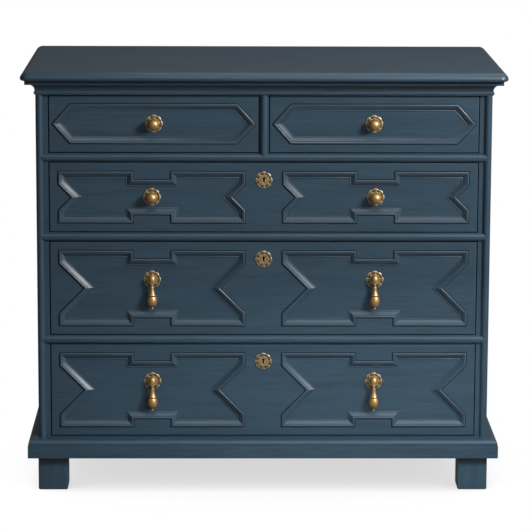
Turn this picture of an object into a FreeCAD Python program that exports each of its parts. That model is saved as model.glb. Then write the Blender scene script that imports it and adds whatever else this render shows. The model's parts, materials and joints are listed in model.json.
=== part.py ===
import FreeCAD, Part

import math
import os

from FreeCAD import Vector

# Chest of drawers: two small drawers over three long ones, in millimetres.
# X runs to the right, Y from the front to the back, Z up from the floor.
# The origin is on the floor, under the middle of the top board.

# Top board
TOP_WIDTH = 1097.0
TOP_DEPTH = 560.0
TOP_NOSE_FLAT = 1.3
TOP_ROUND_HEIGHT = 13.0
TOP_ROUND_WIDTH = 17.0
TOP_LOWER_ROUND = 5.5
TOP_CORNER_FLAT = 1.0
TOP_SIDE_OVERHANG = 32.3
TOP_FRONT_OVERHANG = 39.0
TOP_BACK_OVERHANG = 10.0

# Heights, from the floor up
FOOT_HEIGHT = 78.9
PLINTH_HEIGHT = 41.9
LOWER_OPENING = 217.7
MIDDLE_OPENING = 218.5
UPPER_OPENING = 162.5
SMALL_OPENING = 133.6
RAIL_HEIGHT = 20.0

# Carcass boards
SIDE_THICK = 18.0
BACK_THICK = 8.0
BOTTOM_THICK = 12.0
FRAME_THICK = 20.0
STILE_WIDTH = 28.0
DIVIDER_WIDTH = 21.6
BEAD_PROUD = 8.0
STILE_BEAD = 16.5
RAIL_BEAD = 18.0
DIVIDER_BEAD = 16.5

# Cornice section, measured out from the carcass
CORNICE_REACH = 22.5
CORNICE_FILLET = 10.0
CORNICE_COVE = 15.0
CORNICE_NECK = 0.6
CORNICE_STEP = 1.0
CORNICE_BEAD = 8.0
CORNICE_BEAD_PROUD = 3.2
CORNICE_BEAD_LIFT = 1.0

# Plinth section, and the block feet under it
PLINTH_SIDE_OVERHANG = 22.9
PLINTH_FRONT_OVERHANG = 38.0
PLINTH_BOARD = 64.0
PLINTH_EDGE_ROUND = 9.5
PLINTH_THUMB_SET = 1.0
QUIRK_BELOW_LEDGE = 12.8
QUIRK_WIDTH = 2.0
QUIRK_DEPTH = 2.0
FOOT_WIDTH = 67.5
FOOT_DEPTH = 65.0
FOOT_SETBACK = 20.0
BACK_FOOT_SETBACK = 20.0
FOOT_EDGE_ROUND = 3.0

# Drawer boxes
DRAWER_GAP = 2.0
FRONT_THICK = 20.0
DRAWER_SIDE_THICK = 12.0
DRAWER_BACK_THICK = 12.0
DRAWER_BOTTOM_THICK = 6.0
BOTTOM_LIFT = 9.0
GROOVE_DEPTH = 5.0
GROOVE_CLEAR = 0.1
SIDE_CLEAR = 3.0
RUN_CLEAR = 0.3
SIDE_TOP_CLEAR = 14.0
BACK_TOP_DROP = 6.0
DRAWER_BACK_SPACE = 20.0

# Runners, guides and stops inside the carcass
RUNNER_WIDTH = 40.0
RUNNER_THICK = 16.0
GUIDE_HEIGHT = 20.0
GUIDE_CLEAR = 1.0
STOP_WIDTH = 18.0
STOP_HEIGHT = 16.0
STOP_CLEAR = 0.3

# Panels sunk in the drawer fronts, the moulding round them, and its outlines
PANEL_SINK = 6.0
PANEL_GAP = 1.4
MOULD_WIDTH = 16.0
MOULD_HEIGHT = 10.6
MOULD_BEAD = 5.0
MOULD_SHOULDER = 8.6
MOULD_QUIRK_WIDTH = 1.5
MOULD_QUIRK_LEVEL = 6.8
MOULD_TOE = 1.2
LOOP_MARGIN = 20.0
LOOP_FROM_CENTRE = 42.5
LOOP_LEG = 30.0
NOTCH_WIDTH = 86.0
NOTCH_DEPTH = 19.0
HEXAGON_MARGIN = 19.5
HEXAGON_TIP_MARGIN = 7.0
HEXAGON_END_RUN = 40.5

# Pierced plates: rosettes and escutcheons
PLATE_THICK = 2.5
PLATE_LOBES = 8
ROSETTE_RADIUS = 20.2
ROSETTE_VALLEY_RADIUS = 18.2
ROSETTE_LOBE_RADIUS = 7.0
ROSETTE_PIERCING_RADIUS = 2.5
ROSETTE_PIERCING_CIRCLE = 14.8
ESCUTCHEON_RADIUS = 19.5
ESCUTCHEON_VALLEY_RADIUS = 17.5
ESCUTCHEON_LOBE_RADIUS = 6.6
ESCUTCHEON_PIERCING_RADIUS = 2.2
ESCUTCHEON_PIERCING_CIRCLE = 14.0
ESCUTCHEON_DROP = 41.0
KEYHOLE_RADIUS = 2.8
KEYHOLE_SLOT_WIDTH = 2.6
KEYHOLE_FOOT_WIDTH = 4.2
KEYHOLE_HEIGHT = 13.0
KEYWAY_DEPTH = 10.0

# Ball knobs
KNOB_BALL_RADIUS = 13.0
KNOB_NECK_RADIUS = 5.0
KNOB_COLLAR_RADIUS = 8.0
KNOB_COLLAR_HEIGHT = 2.0
KNOB_STANDOFF = 15.2
SHANK_RADIUS = 2.5
SHANK_DEPTH = 10.0
SHANK_CLEAR = 0.1

# Pear drops and their posts
DROP_ROSETTE_LIFT = 19.8
POST_RADIUS = 8.5
POST_SPREAD = 3.5
POST_WALL = 8.0
PIVOT_DROP = 8.5
PIVOT_STANDOFF = 13.5
PIN_RADIUS = 1.2
PIN_CLEAR = 0.05
PIN_SEAT = 3.0
TONGUE_THICK = 3.0
TONGUE_CLEAR = 0.25
EYE_RADIUS = 3.4
EYE_CLEAR = 0.4
NECK_START = 6.0
NECK_RADIUS = 3.2
BELL_RADIUS = 8.5
BELL_DROP = 26.0
GROOVE_RADIUS = 6.2
SHOULDER_RADIUS = 8.8
SHOULDER_DROP = 28.5
PEAR_RADIUS = 11.4
PEAR_DROP = 37.5
PEAR_FOOT_RADIUS = 3.2
PEAR_FOOT_DROP = 52.0
FINIAL_RADIUS = 2.6
FINIAL_DROP = 59.4

# Places that follow from the sizes above
DIAGONAL = math.sqrt(0.5)
top_half = TOP_WIDTH / 2
top_thick = TOP_LOWER_ROUND + TOP_NOSE_FLAT + TOP_ROUND_HEIGHT
top_corner_radius = TOP_ROUND_WIDTH + TOP_CORNER_FLAT
cornice_height = CORNICE_BEAD_LIFT + CORNICE_BEAD + CORNICE_NECK + CORNICE_COVE + CORNICE_FILLET
nose_y = -TOP_DEPTH / 2
carcass_half = top_half - TOP_SIDE_OVERHANG
opening_half = carcass_half - STILE_WIDTH
divider_half = DIVIDER_WIDTH / 2
side_inner = carcass_half - SIDE_THICK
bead_y = nose_y + TOP_FRONT_OVERHANG
face_y = bead_y + BEAD_PROUD
panel_y = face_y + PANEL_SINK
frame_back_y = face_y + FRAME_THICK
carcass_back_y = TOP_DEPTH / 2 - TOP_BACK_OVERHANG
back_panel_y = carcass_back_y - BACK_THICK
front_back_y = face_y + FRONT_THICK
drawer_back_y = back_panel_y - DRAWER_BACK_SPACE

ledge_z = FOOT_HEIGHT + PLINTH_HEIGHT
lower_z = (ledge_z, ledge_z + LOWER_OPENING)
middle_z = (lower_z[1] + RAIL_HEIGHT, lower_z[1] + RAIL_HEIGHT + MIDDLE_OPENING)
upper_z = (middle_z[1] + RAIL_HEIGHT, middle_z[1] + RAIL_HEIGHT + UPPER_OPENING)
small_z = (upper_z[1] + RAIL_HEIGHT, upper_z[1] + RAIL_HEIGHT + SMALL_OPENING)
cornice_z = small_z[1]
slab_z = cornice_z + cornice_height

plinth_half = carcass_half + PLINTH_SIDE_OVERHANG
plinth_y = bead_y - PLINTH_FRONT_OVERHANG
plinth_inner = plinth_half - PLINTH_BOARD
plinth_back_of_front_y = plinth_y + PLINTH_BOARD

nodes = {}


def block(x, y, z):
    """A board between two values along each axis."""
    return Part.makeBox(x[1] - x[0], y[1] - y[0], z[1] - z[0], Vector(x[0], y[0], z[0]))


def outline(start, moves, place):
    """A closed outline: each move is (end,) for a line, or (middle, end) for an arc."""
    edges = []
    here = start
    for move in moves + [(start,)]:
        end = move[-1]
        if len(move) == 2:
            edges.append(Part.Arc(place(*here), place(*move[0]), place(*end)).toShape())
        elif math.dist(here, end) > 1e-6:
            edges.append(Part.makeLine(place(*here), place(*end)))
        here = end
    return Part.Wire(edges)


def bar(section, run):
    """A section pushed along a straight run, with its faces outwards."""
    solid = Part.Face(section).extrude(run)
    return solid if solid.Volume > 0 else solid.reversed()


def plan_prism(corners, z):
    """An upright prism on a plan outline, used to cut mitres."""
    wire = Part.makePolygon([Vector(x, y, z[0]) for x, y in corners + corners[:1]])
    return bar(wire, Vector(0, 0, z[1] - z[0]))


def whole(shape):
    """The single solid of a joined shape, with its split faces merged."""
    return shape.removeSplitter().Solids[0]


def turned(profile, place, point, axis):
    """A turned piece: a profile of (radius, length) moves spun about an axis."""
    start, moves = profile
    return Part.Face(outline(start, moves, place)).revolve(point, axis, 360)


def nose_moves(reach, far):
    """The moulded edge from its lower to its upper face, measured out to a reach and back to far."""
    low, high = slab_z, slab_z + top_thick
    ease = TOP_LOWER_ROUND * (1 - DIAGONAL)
    lower_middle = (reach - ease, low + ease)
    radius = (TOP_ROUND_WIDTH**2 + TOP_ROUND_HEIGHT**2) / (2 * TOP_ROUND_HEIGHT)
    turn = (math.asin(1 - TOP_ROUND_HEIGHT / radius) + math.pi / 2) / 2
    round_start = reach - TOP_ROUND_WIDTH
    upper_middle = (round_start + radius * math.cos(turn), high - radius * (1 - math.sin(turn)))
    return [
        ((reach - TOP_LOWER_ROUND, low),),
        (lower_middle, (reach, low + TOP_LOWER_ROUND)),
        ((reach, high - TOP_ROUND_HEIGHT),),
        (upper_middle, (round_start, high)),
        ((far, high),),
    ]


def top_board():
    """The slab: a front section crossed with two end sections, and turned at its two front corners."""
    start = (nose_y, slab_z)
    moves = nose_moves(-nose_y, nose_y)
    front = outline(start, moves, lambda out, z: Vector(-top_half, -out, z))
    slab = bar(front, Vector(TOP_WIDTH, 0, 0))
    start = (-top_half, slab_z)
    moves = nose_moves(top_half, -top_half)
    corner_start = (0, slab_z)
    corner_moves = nose_moves(top_corner_radius, 0)
    centre_y = nose_y + top_corner_radius
    for s in (-1, 1):
        end = outline(start, moves, lambda out, z: Vector(s * out, nose_y, z))
        slab = slab.common(bar(end, Vector(0, TOP_DEPTH, 0)))
    corners = []
    for s in (-1, 1):
        centre_x = s * (top_half - top_corner_radius)
        square_x = sorted((centre_x, s * top_half))
        slab = slab.cut(block(square_x, (nose_y, centre_y), (slab_z, slab_z + top_thick)))
        section = outline(corner_start, corner_moves, lambda out, z: Vector(centre_x, centre_y - out, z))
        corners.append(Part.Face(section).revolve(Vector(centre_x, centre_y, 0), Vector(0, 0, s), 90))
    return whole(slab.multiFuse(corners))


def cornice_outline(place):
    """The cornice's section, out from the carcass: bead, plain band, cove and fillet."""
    bead_low = cornice_z + CORNICE_BEAD_LIFT
    bead_high = bead_low + CORNICE_BEAD
    fillet_z = slab_z - CORNICE_FILLET
    cove_reach = CORNICE_STEP + CORNICE_COVE
    cove_z = fillet_z - CORNICE_COVE
    moves = [
        ((CORNICE_STEP, cornice_z),),
        ((CORNICE_STEP, bead_low),),
        ((CORNICE_BEAD_PROUD, (bead_low + bead_high) / 2), (CORNICE_STEP, bead_high)),
        ((CORNICE_STEP, cove_z),),
        ((cove_reach - CORNICE_COVE * DIAGONAL, cove_z + CORNICE_COVE * DIAGONAL), (cove_reach, fillet_z)),
        ((CORNICE_REACH, fillet_z),),
        ((CORNICE_REACH, slab_z),),
        ((0, slab_z),),
    ]
    return outline((0, cornice_z), moves, place)


def cornice():
    """Three mitred lengths: the front on the top rail, the sides on the side boards."""
    wide = carcass_half + CORNICE_REACH
    out_y = bead_y - CORNICE_REACH
    z = (cornice_z, slab_z)
    front = bar(cornice_outline(lambda u, h: Vector(-wide, bead_y - u, h)), Vector(2 * wide, 0, 0))
    front_plan = [(-carcass_half, bead_y), (carcass_half, bead_y), (wide, out_y), (-wide, out_y)]
    nodes["cornice_front"] = front.common(plan_prism(front_plan, z)).Solids[0]
    for name, s in (("cornice_left", -1), ("cornice_right", 1)):
        section = cornice_outline(lambda u, h: Vector(s * (carcass_half + u), out_y, h))
        side = bar(section, Vector(0, carcass_back_y - out_y, 0))
        side_plan = [(s * carcass_half, bead_y), (s * carcass_half, carcass_back_y)]
        side_plan += [(s * wide, carcass_back_y), (s * wide, out_y)]
        nodes[name] = side.common(plan_prism(side_plan, z)).Solids[0]


def plinth_outline(place):
    """The plinth's section, in from its face: flat, quirk, eased edge and ledge."""
    quirk_z = ledge_z - QUIRK_BELOW_LEDGE
    ease = PLINTH_EDGE_ROUND * (1 - DIAGONAL)
    moves = [
        ((0, quirk_z - QUIRK_WIDTH / 2),),
        ((QUIRK_DEPTH, quirk_z),),
        ((PLINTH_THUMB_SET, quirk_z + QUIRK_WIDTH / 2),),
        ((PLINTH_THUMB_SET, ledge_z - PLINTH_EDGE_ROUND),),
        ((PLINTH_THUMB_SET + ease, ledge_z - ease), (PLINTH_THUMB_SET + PLINTH_EDGE_ROUND, ledge_z)),
        ((PLINTH_BOARD, ledge_z),),
        ((PLINTH_BOARD, FOOT_HEIGHT),),
    ]
    return outline((0, FOOT_HEIGHT), moves, place)


def plinth():
    """Three mitred boards: the carcass stands on them and the lowest drawer runs on them."""
    z = (FOOT_HEIGHT, ledge_z)
    inner_y = plinth_back_of_front_y
    section = plinth_outline(lambda u, h: Vector(-plinth_half, plinth_y + u, h))
    front = bar(section, Vector(2 * plinth_half, 0, 0))
    front_plan = [(-plinth_half, plinth_y), (plinth_half, plinth_y)]
    front_plan += [(plinth_inner, inner_y), (-plinth_inner, inner_y)]
    nodes["plinth_front"] = front.common(plan_prism(front_plan, z)).Solids[0]
    for name, s in (("plinth_left", -1), ("plinth_right", 1)):
        section = plinth_outline(lambda u, h: Vector(s * (plinth_half - u), plinth_y, h))
        side = bar(section, Vector(0, back_panel_y - plinth_y, 0))
        side_plan = [(s * plinth_half, plinth_y), (s * plinth_inner, inner_y)]
        side_plan += [(s * plinth_inner, back_panel_y), (s * plinth_half, back_panel_y)]
        nodes[name] = side.common(plan_prism(side_plan, z)).Solids[0]


def feet():
    """Four block feet, flush with the carcass sides, their lower and upright edges eased."""
    front_y = plinth_y + FOOT_SETBACK
    rear_y = carcass_back_y - BACK_FOOT_SETBACK
    blocks = []
    for s in (-1, 1):
        for y in ((front_y, front_y + FOOT_DEPTH), (rear_y - FOOT_DEPTH, rear_y)):
            x = sorted((s * carcass_half, s * (carcass_half - FOOT_WIDTH)))
            foot = block(x, y, (0, FOOT_HEIGHT))
            eased = [e for e in foot.Edges if e.BoundBox.ZMin < FOOT_HEIGHT - 1e-3]
            blocks.append(foot.makeFillet(FOOT_EDGE_ROUND, eased))
    nodes["feet"] = Part.makeCompound(blocks)


def bead_outline(centre, width, place):
    """A half-round bead of the given width on the frame's face."""
    low, high = centre - width / 2, centre + width / 2
    return outline((low, face_y), [((centre, bead_y), (high, face_y))], place)


def stiles():
    """Uprights of the face frame: a half-round bead at the outer edge, a flat beside it."""
    for name, s in (("stile_left", -1), ("stile_right", 1)):
        x = sorted((s * carcass_half, s * opening_half))
        board = block(x, (face_y, frame_back_y), (ledge_z, cornice_z))
        middle = s * (carcass_half - STILE_BEAD / 2)
        bead = bar(
            bead_outline(middle, STILE_BEAD, lambda w, y: Vector(w, y, ledge_z)),
            Vector(0, 0, cornice_z - ledge_z),
        )
        nodes[name] = whole(board.fuse(bead))


def rail(z_low):
    """A rail between the stiles, its bead run on over their flats and coped to their beads."""
    z = (z_low, z_low + RAIL_HEIGHT)
    board = block((-opening_half, opening_half), (face_y, frame_back_y), z)
    reach = carcass_half - STILE_BEAD / 2
    bead = bar(
        bead_outline(sum(z) / 2, RAIL_BEAD, lambda w, y: Vector(-reach, y, w)),
        Vector(2 * reach, 0, 0),
    )
    bead = bead.cut(nodes["stile_left"]).cut(nodes["stile_right"])
    return whole(board.fuse(bead.Solids[0]))


def centre_divider():
    """The board between the small drawers, its front bead coped down on to the upper rail."""
    board = block((-divider_half, divider_half), (face_y, back_panel_y), (small_z[0], cornice_z))
    rail_middle = small_z[0] - RAIL_HEIGHT / 2
    bead = bar(
        bead_outline(0, DIVIDER_BEAD, lambda w, y: Vector(w, y, rail_middle)),
        Vector(0, 0, cornice_z - rail_middle),
    )
    bead = bead.cut(nodes["upper_rail"])
    return whole(board.fuse(bead.Solids[0]))


def runner_set():
    """Runners under the drawers, guides beside them and stop blocks behind them."""
    y = (frame_back_y, back_panel_y)
    pieces = []
    for s in (-1, 1):
        for z_low in (middle_z[0], upper_z[0], small_z[0]):
            x = sorted((s * side_inner, s * (side_inner - RUNNER_WIDTH)))
            pieces.append(block(x, y, (z_low - RUNNER_THICK, z_low)))
        for z_low in (lower_z[0], middle_z[0], upper_z[0], small_z[0]):
            x = sorted((s * side_inner, s * (opening_half - SIDE_CLEAR + GUIDE_CLEAR)))
            pieces.append(block(x, y, (z_low, z_low + GUIDE_HEIGHT)))
    centre = divider_half + RUNNER_WIDTH
    pieces.append(block((-centre, centre), y, (small_z[0] - RUNNER_THICK, small_z[0])))
    stop_y = (drawer_back_y + STOP_CLEAR, back_panel_y)
    outer = opening_half - SIDE_CLEAR
    inner = divider_half + SIDE_CLEAR
    for s in (-1, 1):
        for z_low in (lower_z[0], middle_z[0], upper_z[0], small_z[0]):
            x = sorted((s * outer, s * (outer - STOP_WIDTH)))
            pieces.append(block(x, stop_y, (z_low, z_low + STOP_HEIGHT)))
        x = sorted((s * inner, s * (inner + STOP_WIDTH)))
        pieces.append(block(x, stop_y, (small_z[0], small_z[0] + STOP_HEIGHT)))
    return Part.makeCompound(pieces)


def mould_section(at):
    """The moulding's section, in from its outer edge: bead, quirk and a slope down to a thin toe."""
    moves = [
        ((0, MOULD_SHOULDER),),
        ((MOULD_BEAD / 2, MOULD_HEIGHT), (MOULD_BEAD, MOULD_SHOULDER)),
        ((MOULD_BEAD, MOULD_QUIRK_LEVEL),),
        ((MOULD_BEAD + MOULD_QUIRK_WIDTH, MOULD_QUIRK_LEVEL),),
        ((MOULD_WIDTH, MOULD_TOE),),
        ((MOULD_WIDTH, 0),),
    ]
    return outline((0, 0), moves, at)


def mould_loop(corners):
    """The moulding carried round a clockwise outline of (x, z) corners, with mitred corners."""
    last, first = corners[-1], corners[0]
    start = ((last[0] + first[0]) / 2, (last[1] + first[1]) / 2)
    length = math.dist(start, first)
    inward = ((first[1] - start[1]) / length, -(first[0] - start[0]) / length)

    def at(d, h):
        return Vector(start[0] + inward[0] * d, panel_y - h, start[1] + inward[1] * d)

    spine = Part.makePolygon([Vector(x, panel_y, z) for x, z in [start] + corners + [start]])
    return spine.makePipeShell([mould_section(at)], True, False, 1)


def widened(corners, gap):
    """A clockwise outline of (x, z) corners moved outwards by a gap, its corners kept sharp."""
    moved = []
    for k, here in enumerate(corners):
        normals = []
        for a, b in ((corners[k - 1], here), (here, corners[(k + 1) % len(corners)])):
            length = math.dist(a, b)
            normals.append(((a[1] - b[1]) / length, (b[0] - a[0]) / length))
        (ax, az), (bx, bz) = normals
        stretch = gap / (1 + ax * bx + az * bz)
        moved.append((here[0] + (ax + bx) * stretch, here[1] + (az + bz) * stretch))
    return moved


def sunk_panel(corners):
    """The space that a panel is sunk by, a gap wider all round than the moulding's outline."""
    edge = widened(corners, PANEL_GAP)
    wire = Part.makePolygon([Vector(x, face_y, z) for x, z in edge + edge[:1]])
    return bar(wire, Vector(0, PANEL_SINK, 0))


def loop_corners(x, z):
    """A long drawer's loop: V notches at the ends, a square notch at the top and bottom."""
    cx, cz = sum(x) / 2, sum(z) / 2
    wide, high = (x[1] - x[0]) / 2, (z[1] - z[0]) / 2
    notch = NOTCH_WIDTH / 2
    vee = high - LOOP_LEG
    half = [
        (notch, high - NOTCH_DEPTH),
        (notch, high),
        (wide, high),
        (wide, vee),
        (wide - vee, 0),
        (wide, -vee),
        (wide, -high),
        (notch, -high),
        (notch, NOTCH_DEPTH - high),
    ]
    ring = half + [(-px, -pz) for px, pz in half]
    return [(cx + px, cz + pz) for px, pz in ring]


def hexagon_corners(x, z):
    """A small drawer's long hexagon with pointed ends."""
    cz = sum(z) / 2
    left, right = x[0] + HEXAGON_TIP_MARGIN, x[1] - HEXAGON_TIP_MARGIN
    high = (z[1] - z[0]) / 2 - HEXAGON_MARGIN
    flat = (left + HEXAGON_END_RUN, right - HEXAGON_END_RUN)
    upper = [(flat[0], cz + high), (flat[1], cz + high), (right, cz)]
    lower = [(flat[1], cz - high), (flat[0], cz - high), (left, cz)]
    return upper + lower


def out_from_panel(x, z):
    """A place function for turned hardware: radius along X, length out from the sunk panel."""
    return lambda r, t: Vector(x + r, panel_y - t, z)


def spike(x, z, radius, span, seat_y):
    """A plain round bar square to the drawer's front, between two lengths out from its seat."""
    return Part.makeCylinder(radius, span[1] - span[0], Vector(x, seat_y - span[0], z), Vector(0, -1, 0))


def pierced_plate(x, z, seat_y, rim, piercing):
    """A round plate with a scalloped rim and a ring of piercings between its lobes."""
    radius, valley_radius, lobe_radius = rim
    piercing_radius, piercing_circle = piercing
    span = (0, PLATE_THICK)
    lobe_circle = radius - lobe_radius
    plate = spike(x, z, valley_radius, span, seat_y)
    step = 2 * math.pi / PLATE_LOBES
    lobes = []
    holes = []
    for k in range(PLATE_LOBES):
        lobe = k * step
        hole = lobe + step / 2
        lx, lz = x + lobe_circle * math.cos(lobe), z + lobe_circle * math.sin(lobe)
        lobes.append(spike(lx, lz, lobe_radius, span, seat_y))
        hx, hz = x + piercing_circle * math.cos(hole), z + piercing_circle * math.sin(hole)
        holes.append(spike(hx, hz, piercing_radius, span, seat_y))
    return whole(plate.multiFuse(lobes).cut(Part.makeCompound(holes)))


def rosette(x, z):
    """A pierced rosette with a hole for the shank."""
    rim = (ROSETTE_RADIUS, ROSETTE_VALLEY_RADIUS, ROSETTE_LOBE_RADIUS)
    plate = pierced_plate(x, z, panel_y, rim, (ROSETTE_PIERCING_RADIUS, ROSETTE_PIERCING_CIRCLE))
    return whole(plate.cut(spike(x, z, SHANK_RADIUS + SHANK_CLEAR, (0, PLATE_THICK), panel_y)))


def keyhole(x, z, span):
    """A keyhole's space: a round eye over a slot that flares at its foot."""
    eye_z = z + KEYHOLE_HEIGHT / 2 - KEYHOLE_RADIUS
    foot_z = z - KEYHOLE_HEIGHT / 2
    half_slot, half_foot = KEYHOLE_SLOT_WIDTH / 2, KEYHOLE_FOOT_WIDTH / 2
    slot = [(x - half_slot, eye_z), (x + half_slot, eye_z)]
    slot += [(x + half_foot, foot_z), (x - half_foot, foot_z)]
    wire = Part.makePolygon([Vector(px, face_y - span[0], pz) for px, pz in slot + slot[:1]])
    eye = spike(x, eye_z, KEYHOLE_RADIUS, span, face_y)
    return eye.fuse(bar(wire, Vector(0, span[0] - span[1], 0)))


def escutcheon(x, z):
    """A pierced round plate with a keyhole."""
    rim = (ESCUTCHEON_RADIUS, ESCUTCHEON_VALLEY_RADIUS, ESCUTCHEON_LOBE_RADIUS)
    plate = pierced_plate(x, z, face_y, rim, (ESCUTCHEON_PIERCING_RADIUS, ESCUTCHEON_PIERCING_CIRCLE))
    return whole(plate.cut(keyhole(x, z, (0, PLATE_THICK))))


def ball_knob(x, z):
    """A turned ball on a waisted neck and a collar, its shank in the drawer front."""
    centre = PLATE_THICK + KNOB_STANDOFF
    neck_top = centre - math.sqrt(KNOB_BALL_RADIUS**2 - KNOB_NECK_RADIUS**2)
    collar_top = PLATE_THICK + KNOB_COLLAR_HEIGHT
    moves = [
        ((SHANK_RADIUS, -SHANK_DEPTH),),
        ((SHANK_RADIUS, PLATE_THICK),),
        ((KNOB_COLLAR_RADIUS, PLATE_THICK),),
        ((KNOB_COLLAR_RADIUS, collar_top),),
        ((KNOB_NECK_RADIUS, neck_top),),
        ((KNOB_BALL_RADIUS, centre), (0, centre + KNOB_BALL_RADIUS)),
    ]
    profile = ((0, -SHANK_DEPTH), moves)
    return turned(profile, out_from_panel(x, z), Vector(x, panel_y, z), Vector(0, -1, 0))


def pin_reach():
    """How far the cross pin runs to each side: half the slot and its seat in the post."""
    return TONGUE_THICK / 2 + TONGUE_CLEAR + PIN_SEAT


def drop_post(x, z):
    """An upright oval post with a domed face, slotted below for the drop's eye and bored for its pin."""
    wall = PLATE_THICK + POST_WALL
    arc = (POST_RADIUS * DIAGONAL, wall + POST_RADIUS * DIAGONAL)
    flank = [((POST_RADIUS, PLATE_THICK),), ((POST_RADIUS, wall),), (arc, (0, wall + POST_RADIUS))]
    low, high = z - POST_SPREAD, z + POST_SPREAD
    ends = []
    for end_z in (low, high):
        place = out_from_panel(x, end_z)
        ends.append(turned(((0, PLATE_THICK), flank), place, place(0, 0), Vector(0, -1, 0)))
    both_flanks = flank + [((-arc[0], arc[1]), (-POST_RADIUS, wall))]
    section = outline((-POST_RADIUS, PLATE_THICK), both_flanks, out_from_panel(x, low))
    middle = bar(section, Vector(0, 0, high - low))
    shank = spike(x, z, SHANK_RADIUS, (-SHANK_DEPTH, PLATE_THICK), panel_y)
    post = middle.multiFuse(ends + [shank])
    pivot_y, pivot_z = panel_y - PIVOT_STANDOFF, z - PIVOT_DROP
    slot = TONGUE_THICK / 2 + TONGUE_CLEAR
    mouth = block((x - slot, x + slot), (panel_y - wall - POST_RADIUS, panel_y - PLATE_THICK),
                  (low - POST_RADIUS, pivot_z + EYE_RADIUS + EYE_CLEAR))
    start = Vector(x - pin_reach(), pivot_y, pivot_z)
    bore = Part.makeCylinder(PIN_RADIUS, 2 * pin_reach(), start, Vector(1, 0, 0))
    return whole(post.cut(mouth).cut(bore))


def drop_pin(x, z):
    """The cross pin that the drop swings on, held in the post on both sides of its slot."""
    start = Vector(x - pin_reach(), panel_y - PIVOT_STANDOFF, z - PIVOT_DROP)
    return Part.makeCylinder(PIN_RADIUS, 2 * pin_reach(), start, Vector(1, 0, 0))


def pear_drop(x, z):
    """A turned pear on a bell-shaped neck with a finial, hung by a flat eye on its pin."""
    pivot_y, pivot_z = panel_y - PIVOT_STANDOFF, z - PIVOT_DROP
    belly_z = (PEAR_DROP + PEAR_FOOT_DROP) / 2
    belly_r = PEAR_FOOT_RADIUS + (PEAR_RADIUS - PEAR_FOOT_RADIUS) * DIAGONAL
    upper_r = SHOULDER_RADIUS + (PEAR_RADIUS - SHOULDER_RADIUS) * DIAGONAL
    finial_z = FINIAL_DROP - FINIAL_RADIUS
    flare = (BELL_DROP + NECK_START) / 2
    moves = [
        ((NECK_RADIUS, NECK_START),),
        ((NECK_RADIUS + (BELL_RADIUS - NECK_RADIUS) * (1 - DIAGONAL), flare), (BELL_RADIUS, BELL_DROP)),
        ((GROOVE_RADIUS, (BELL_DROP + SHOULDER_DROP) / 2),),
        ((SHOULDER_RADIUS, SHOULDER_DROP),),
        ((upper_r, (SHOULDER_DROP + PEAR_DROP) / 2), (PEAR_RADIUS, PEAR_DROP)),
        ((belly_r, belly_z), (PEAR_FOOT_RADIUS, PEAR_FOOT_DROP)),
        ((FINIAL_RADIUS * DIAGONAL, finial_z - FINIAL_RADIUS * DIAGONAL),),
        ((FINIAL_RADIUS, finial_z), (0, FINIAL_DROP)),
    ]

    def place(r, t):
        return Vector(x + r, pivot_y, pivot_z - t)

    point = Vector(x, pivot_y, pivot_z)
    body = turned(((0, NECK_START), moves), place, point, Vector(0, 0, 1))
    left = Vector(x - TONGUE_THICK / 2, pivot_y, pivot_z)
    eye = Part.makeCylinder(EYE_RADIUS, TONGUE_THICK, left, Vector(1, 0, 0))
    stem_half = TONGUE_THICK / 2
    stem = block((x - stem_half, x + stem_half), (pivot_y - stem_half, pivot_y + stem_half),
                 (pivot_z - NECK_START - stem_half, pivot_z))
    bore = Part.makeCylinder(PIN_RADIUS + PIN_CLEAR, TONGUE_THICK, left, Vector(1, 0, 0))
    return whole(body.multiFuse([eye, stem]).cut(bore))


def drawer_box(name, opening_x, opening_z, panels, shanks, keyholes):
    """A drawer's front, sides, back and bottom; the bottom sits in grooves in the front and sides."""
    front_x = (opening_x[0] + DRAWER_GAP, opening_x[1] - DRAWER_GAP)
    front_z = (opening_z[0] + DRAWER_GAP, opening_z[1] - DRAWER_GAP)
    box_x = (opening_x[0] + SIDE_CLEAR, opening_x[1] - SIDE_CLEAR)
    inner_x = (box_x[0] + DRAWER_SIDE_THICK, box_x[1] - DRAWER_SIDE_THICK)
    foot_z = opening_z[0] + RUN_CLEAR
    side_z = (foot_z, opening_z[1] - SIDE_TOP_CLEAR)
    bottom_z = (foot_z + BOTTOM_LIFT, foot_z + BOTTOM_LIFT + DRAWER_BOTTOM_THICK)
    side_y = (front_back_y, drawer_back_y)

    bottom_x = (inner_x[0] - GROOVE_DEPTH, inner_x[1] + GROOVE_DEPTH)
    bottom_y = (front_back_y - GROOVE_DEPTH, drawer_back_y)
    bottom = block(bottom_x, bottom_y, bottom_z)
    groove = block(
        (bottom_x[0] - GROOVE_CLEAR, bottom_x[1] + GROOVE_CLEAR),
        (bottom_y[0] - GROOVE_CLEAR, bottom_y[1]),
        (bottom_z[0] - GROOVE_CLEAR, bottom_z[1] + GROOVE_CLEAR),
    )
    front = block(front_x, (face_y, front_back_y), front_z).cut(groove)
    for corners in panels:
        front = front.cut(sunk_panel(corners))
    for x, z in shanks:
        shank_span = (-SHANK_DEPTH - SHANK_CLEAR, 0)
        front = front.cut(spike(x, z, SHANK_RADIUS + SHANK_CLEAR, shank_span, panel_y))
    for x, z in keyholes:
        front = front.cut(keyhole(x, z, (-KEYWAY_DEPTH, 0)))
    sides = [
        block((box_x[0], inner_x[0]), side_y, side_z).cut(groove).Solids[0],
        block((inner_x[1], box_x[1]), side_y, side_z).cut(groove).Solids[0],
    ]
    back_y = (drawer_back_y - DRAWER_BACK_THICK, drawer_back_y)
    back = block(inner_x, back_y, (bottom_z[1] + GROOVE_CLEAR, side_z[1] - BACK_TOP_DROP))
    nodes[name + "_front"] = whole(front)
    nodes[name + "_sides"] = Part.makeCompound(sides)
    nodes[name + "_back"] = back
    nodes[name + "_bottom"] = bottom


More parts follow.
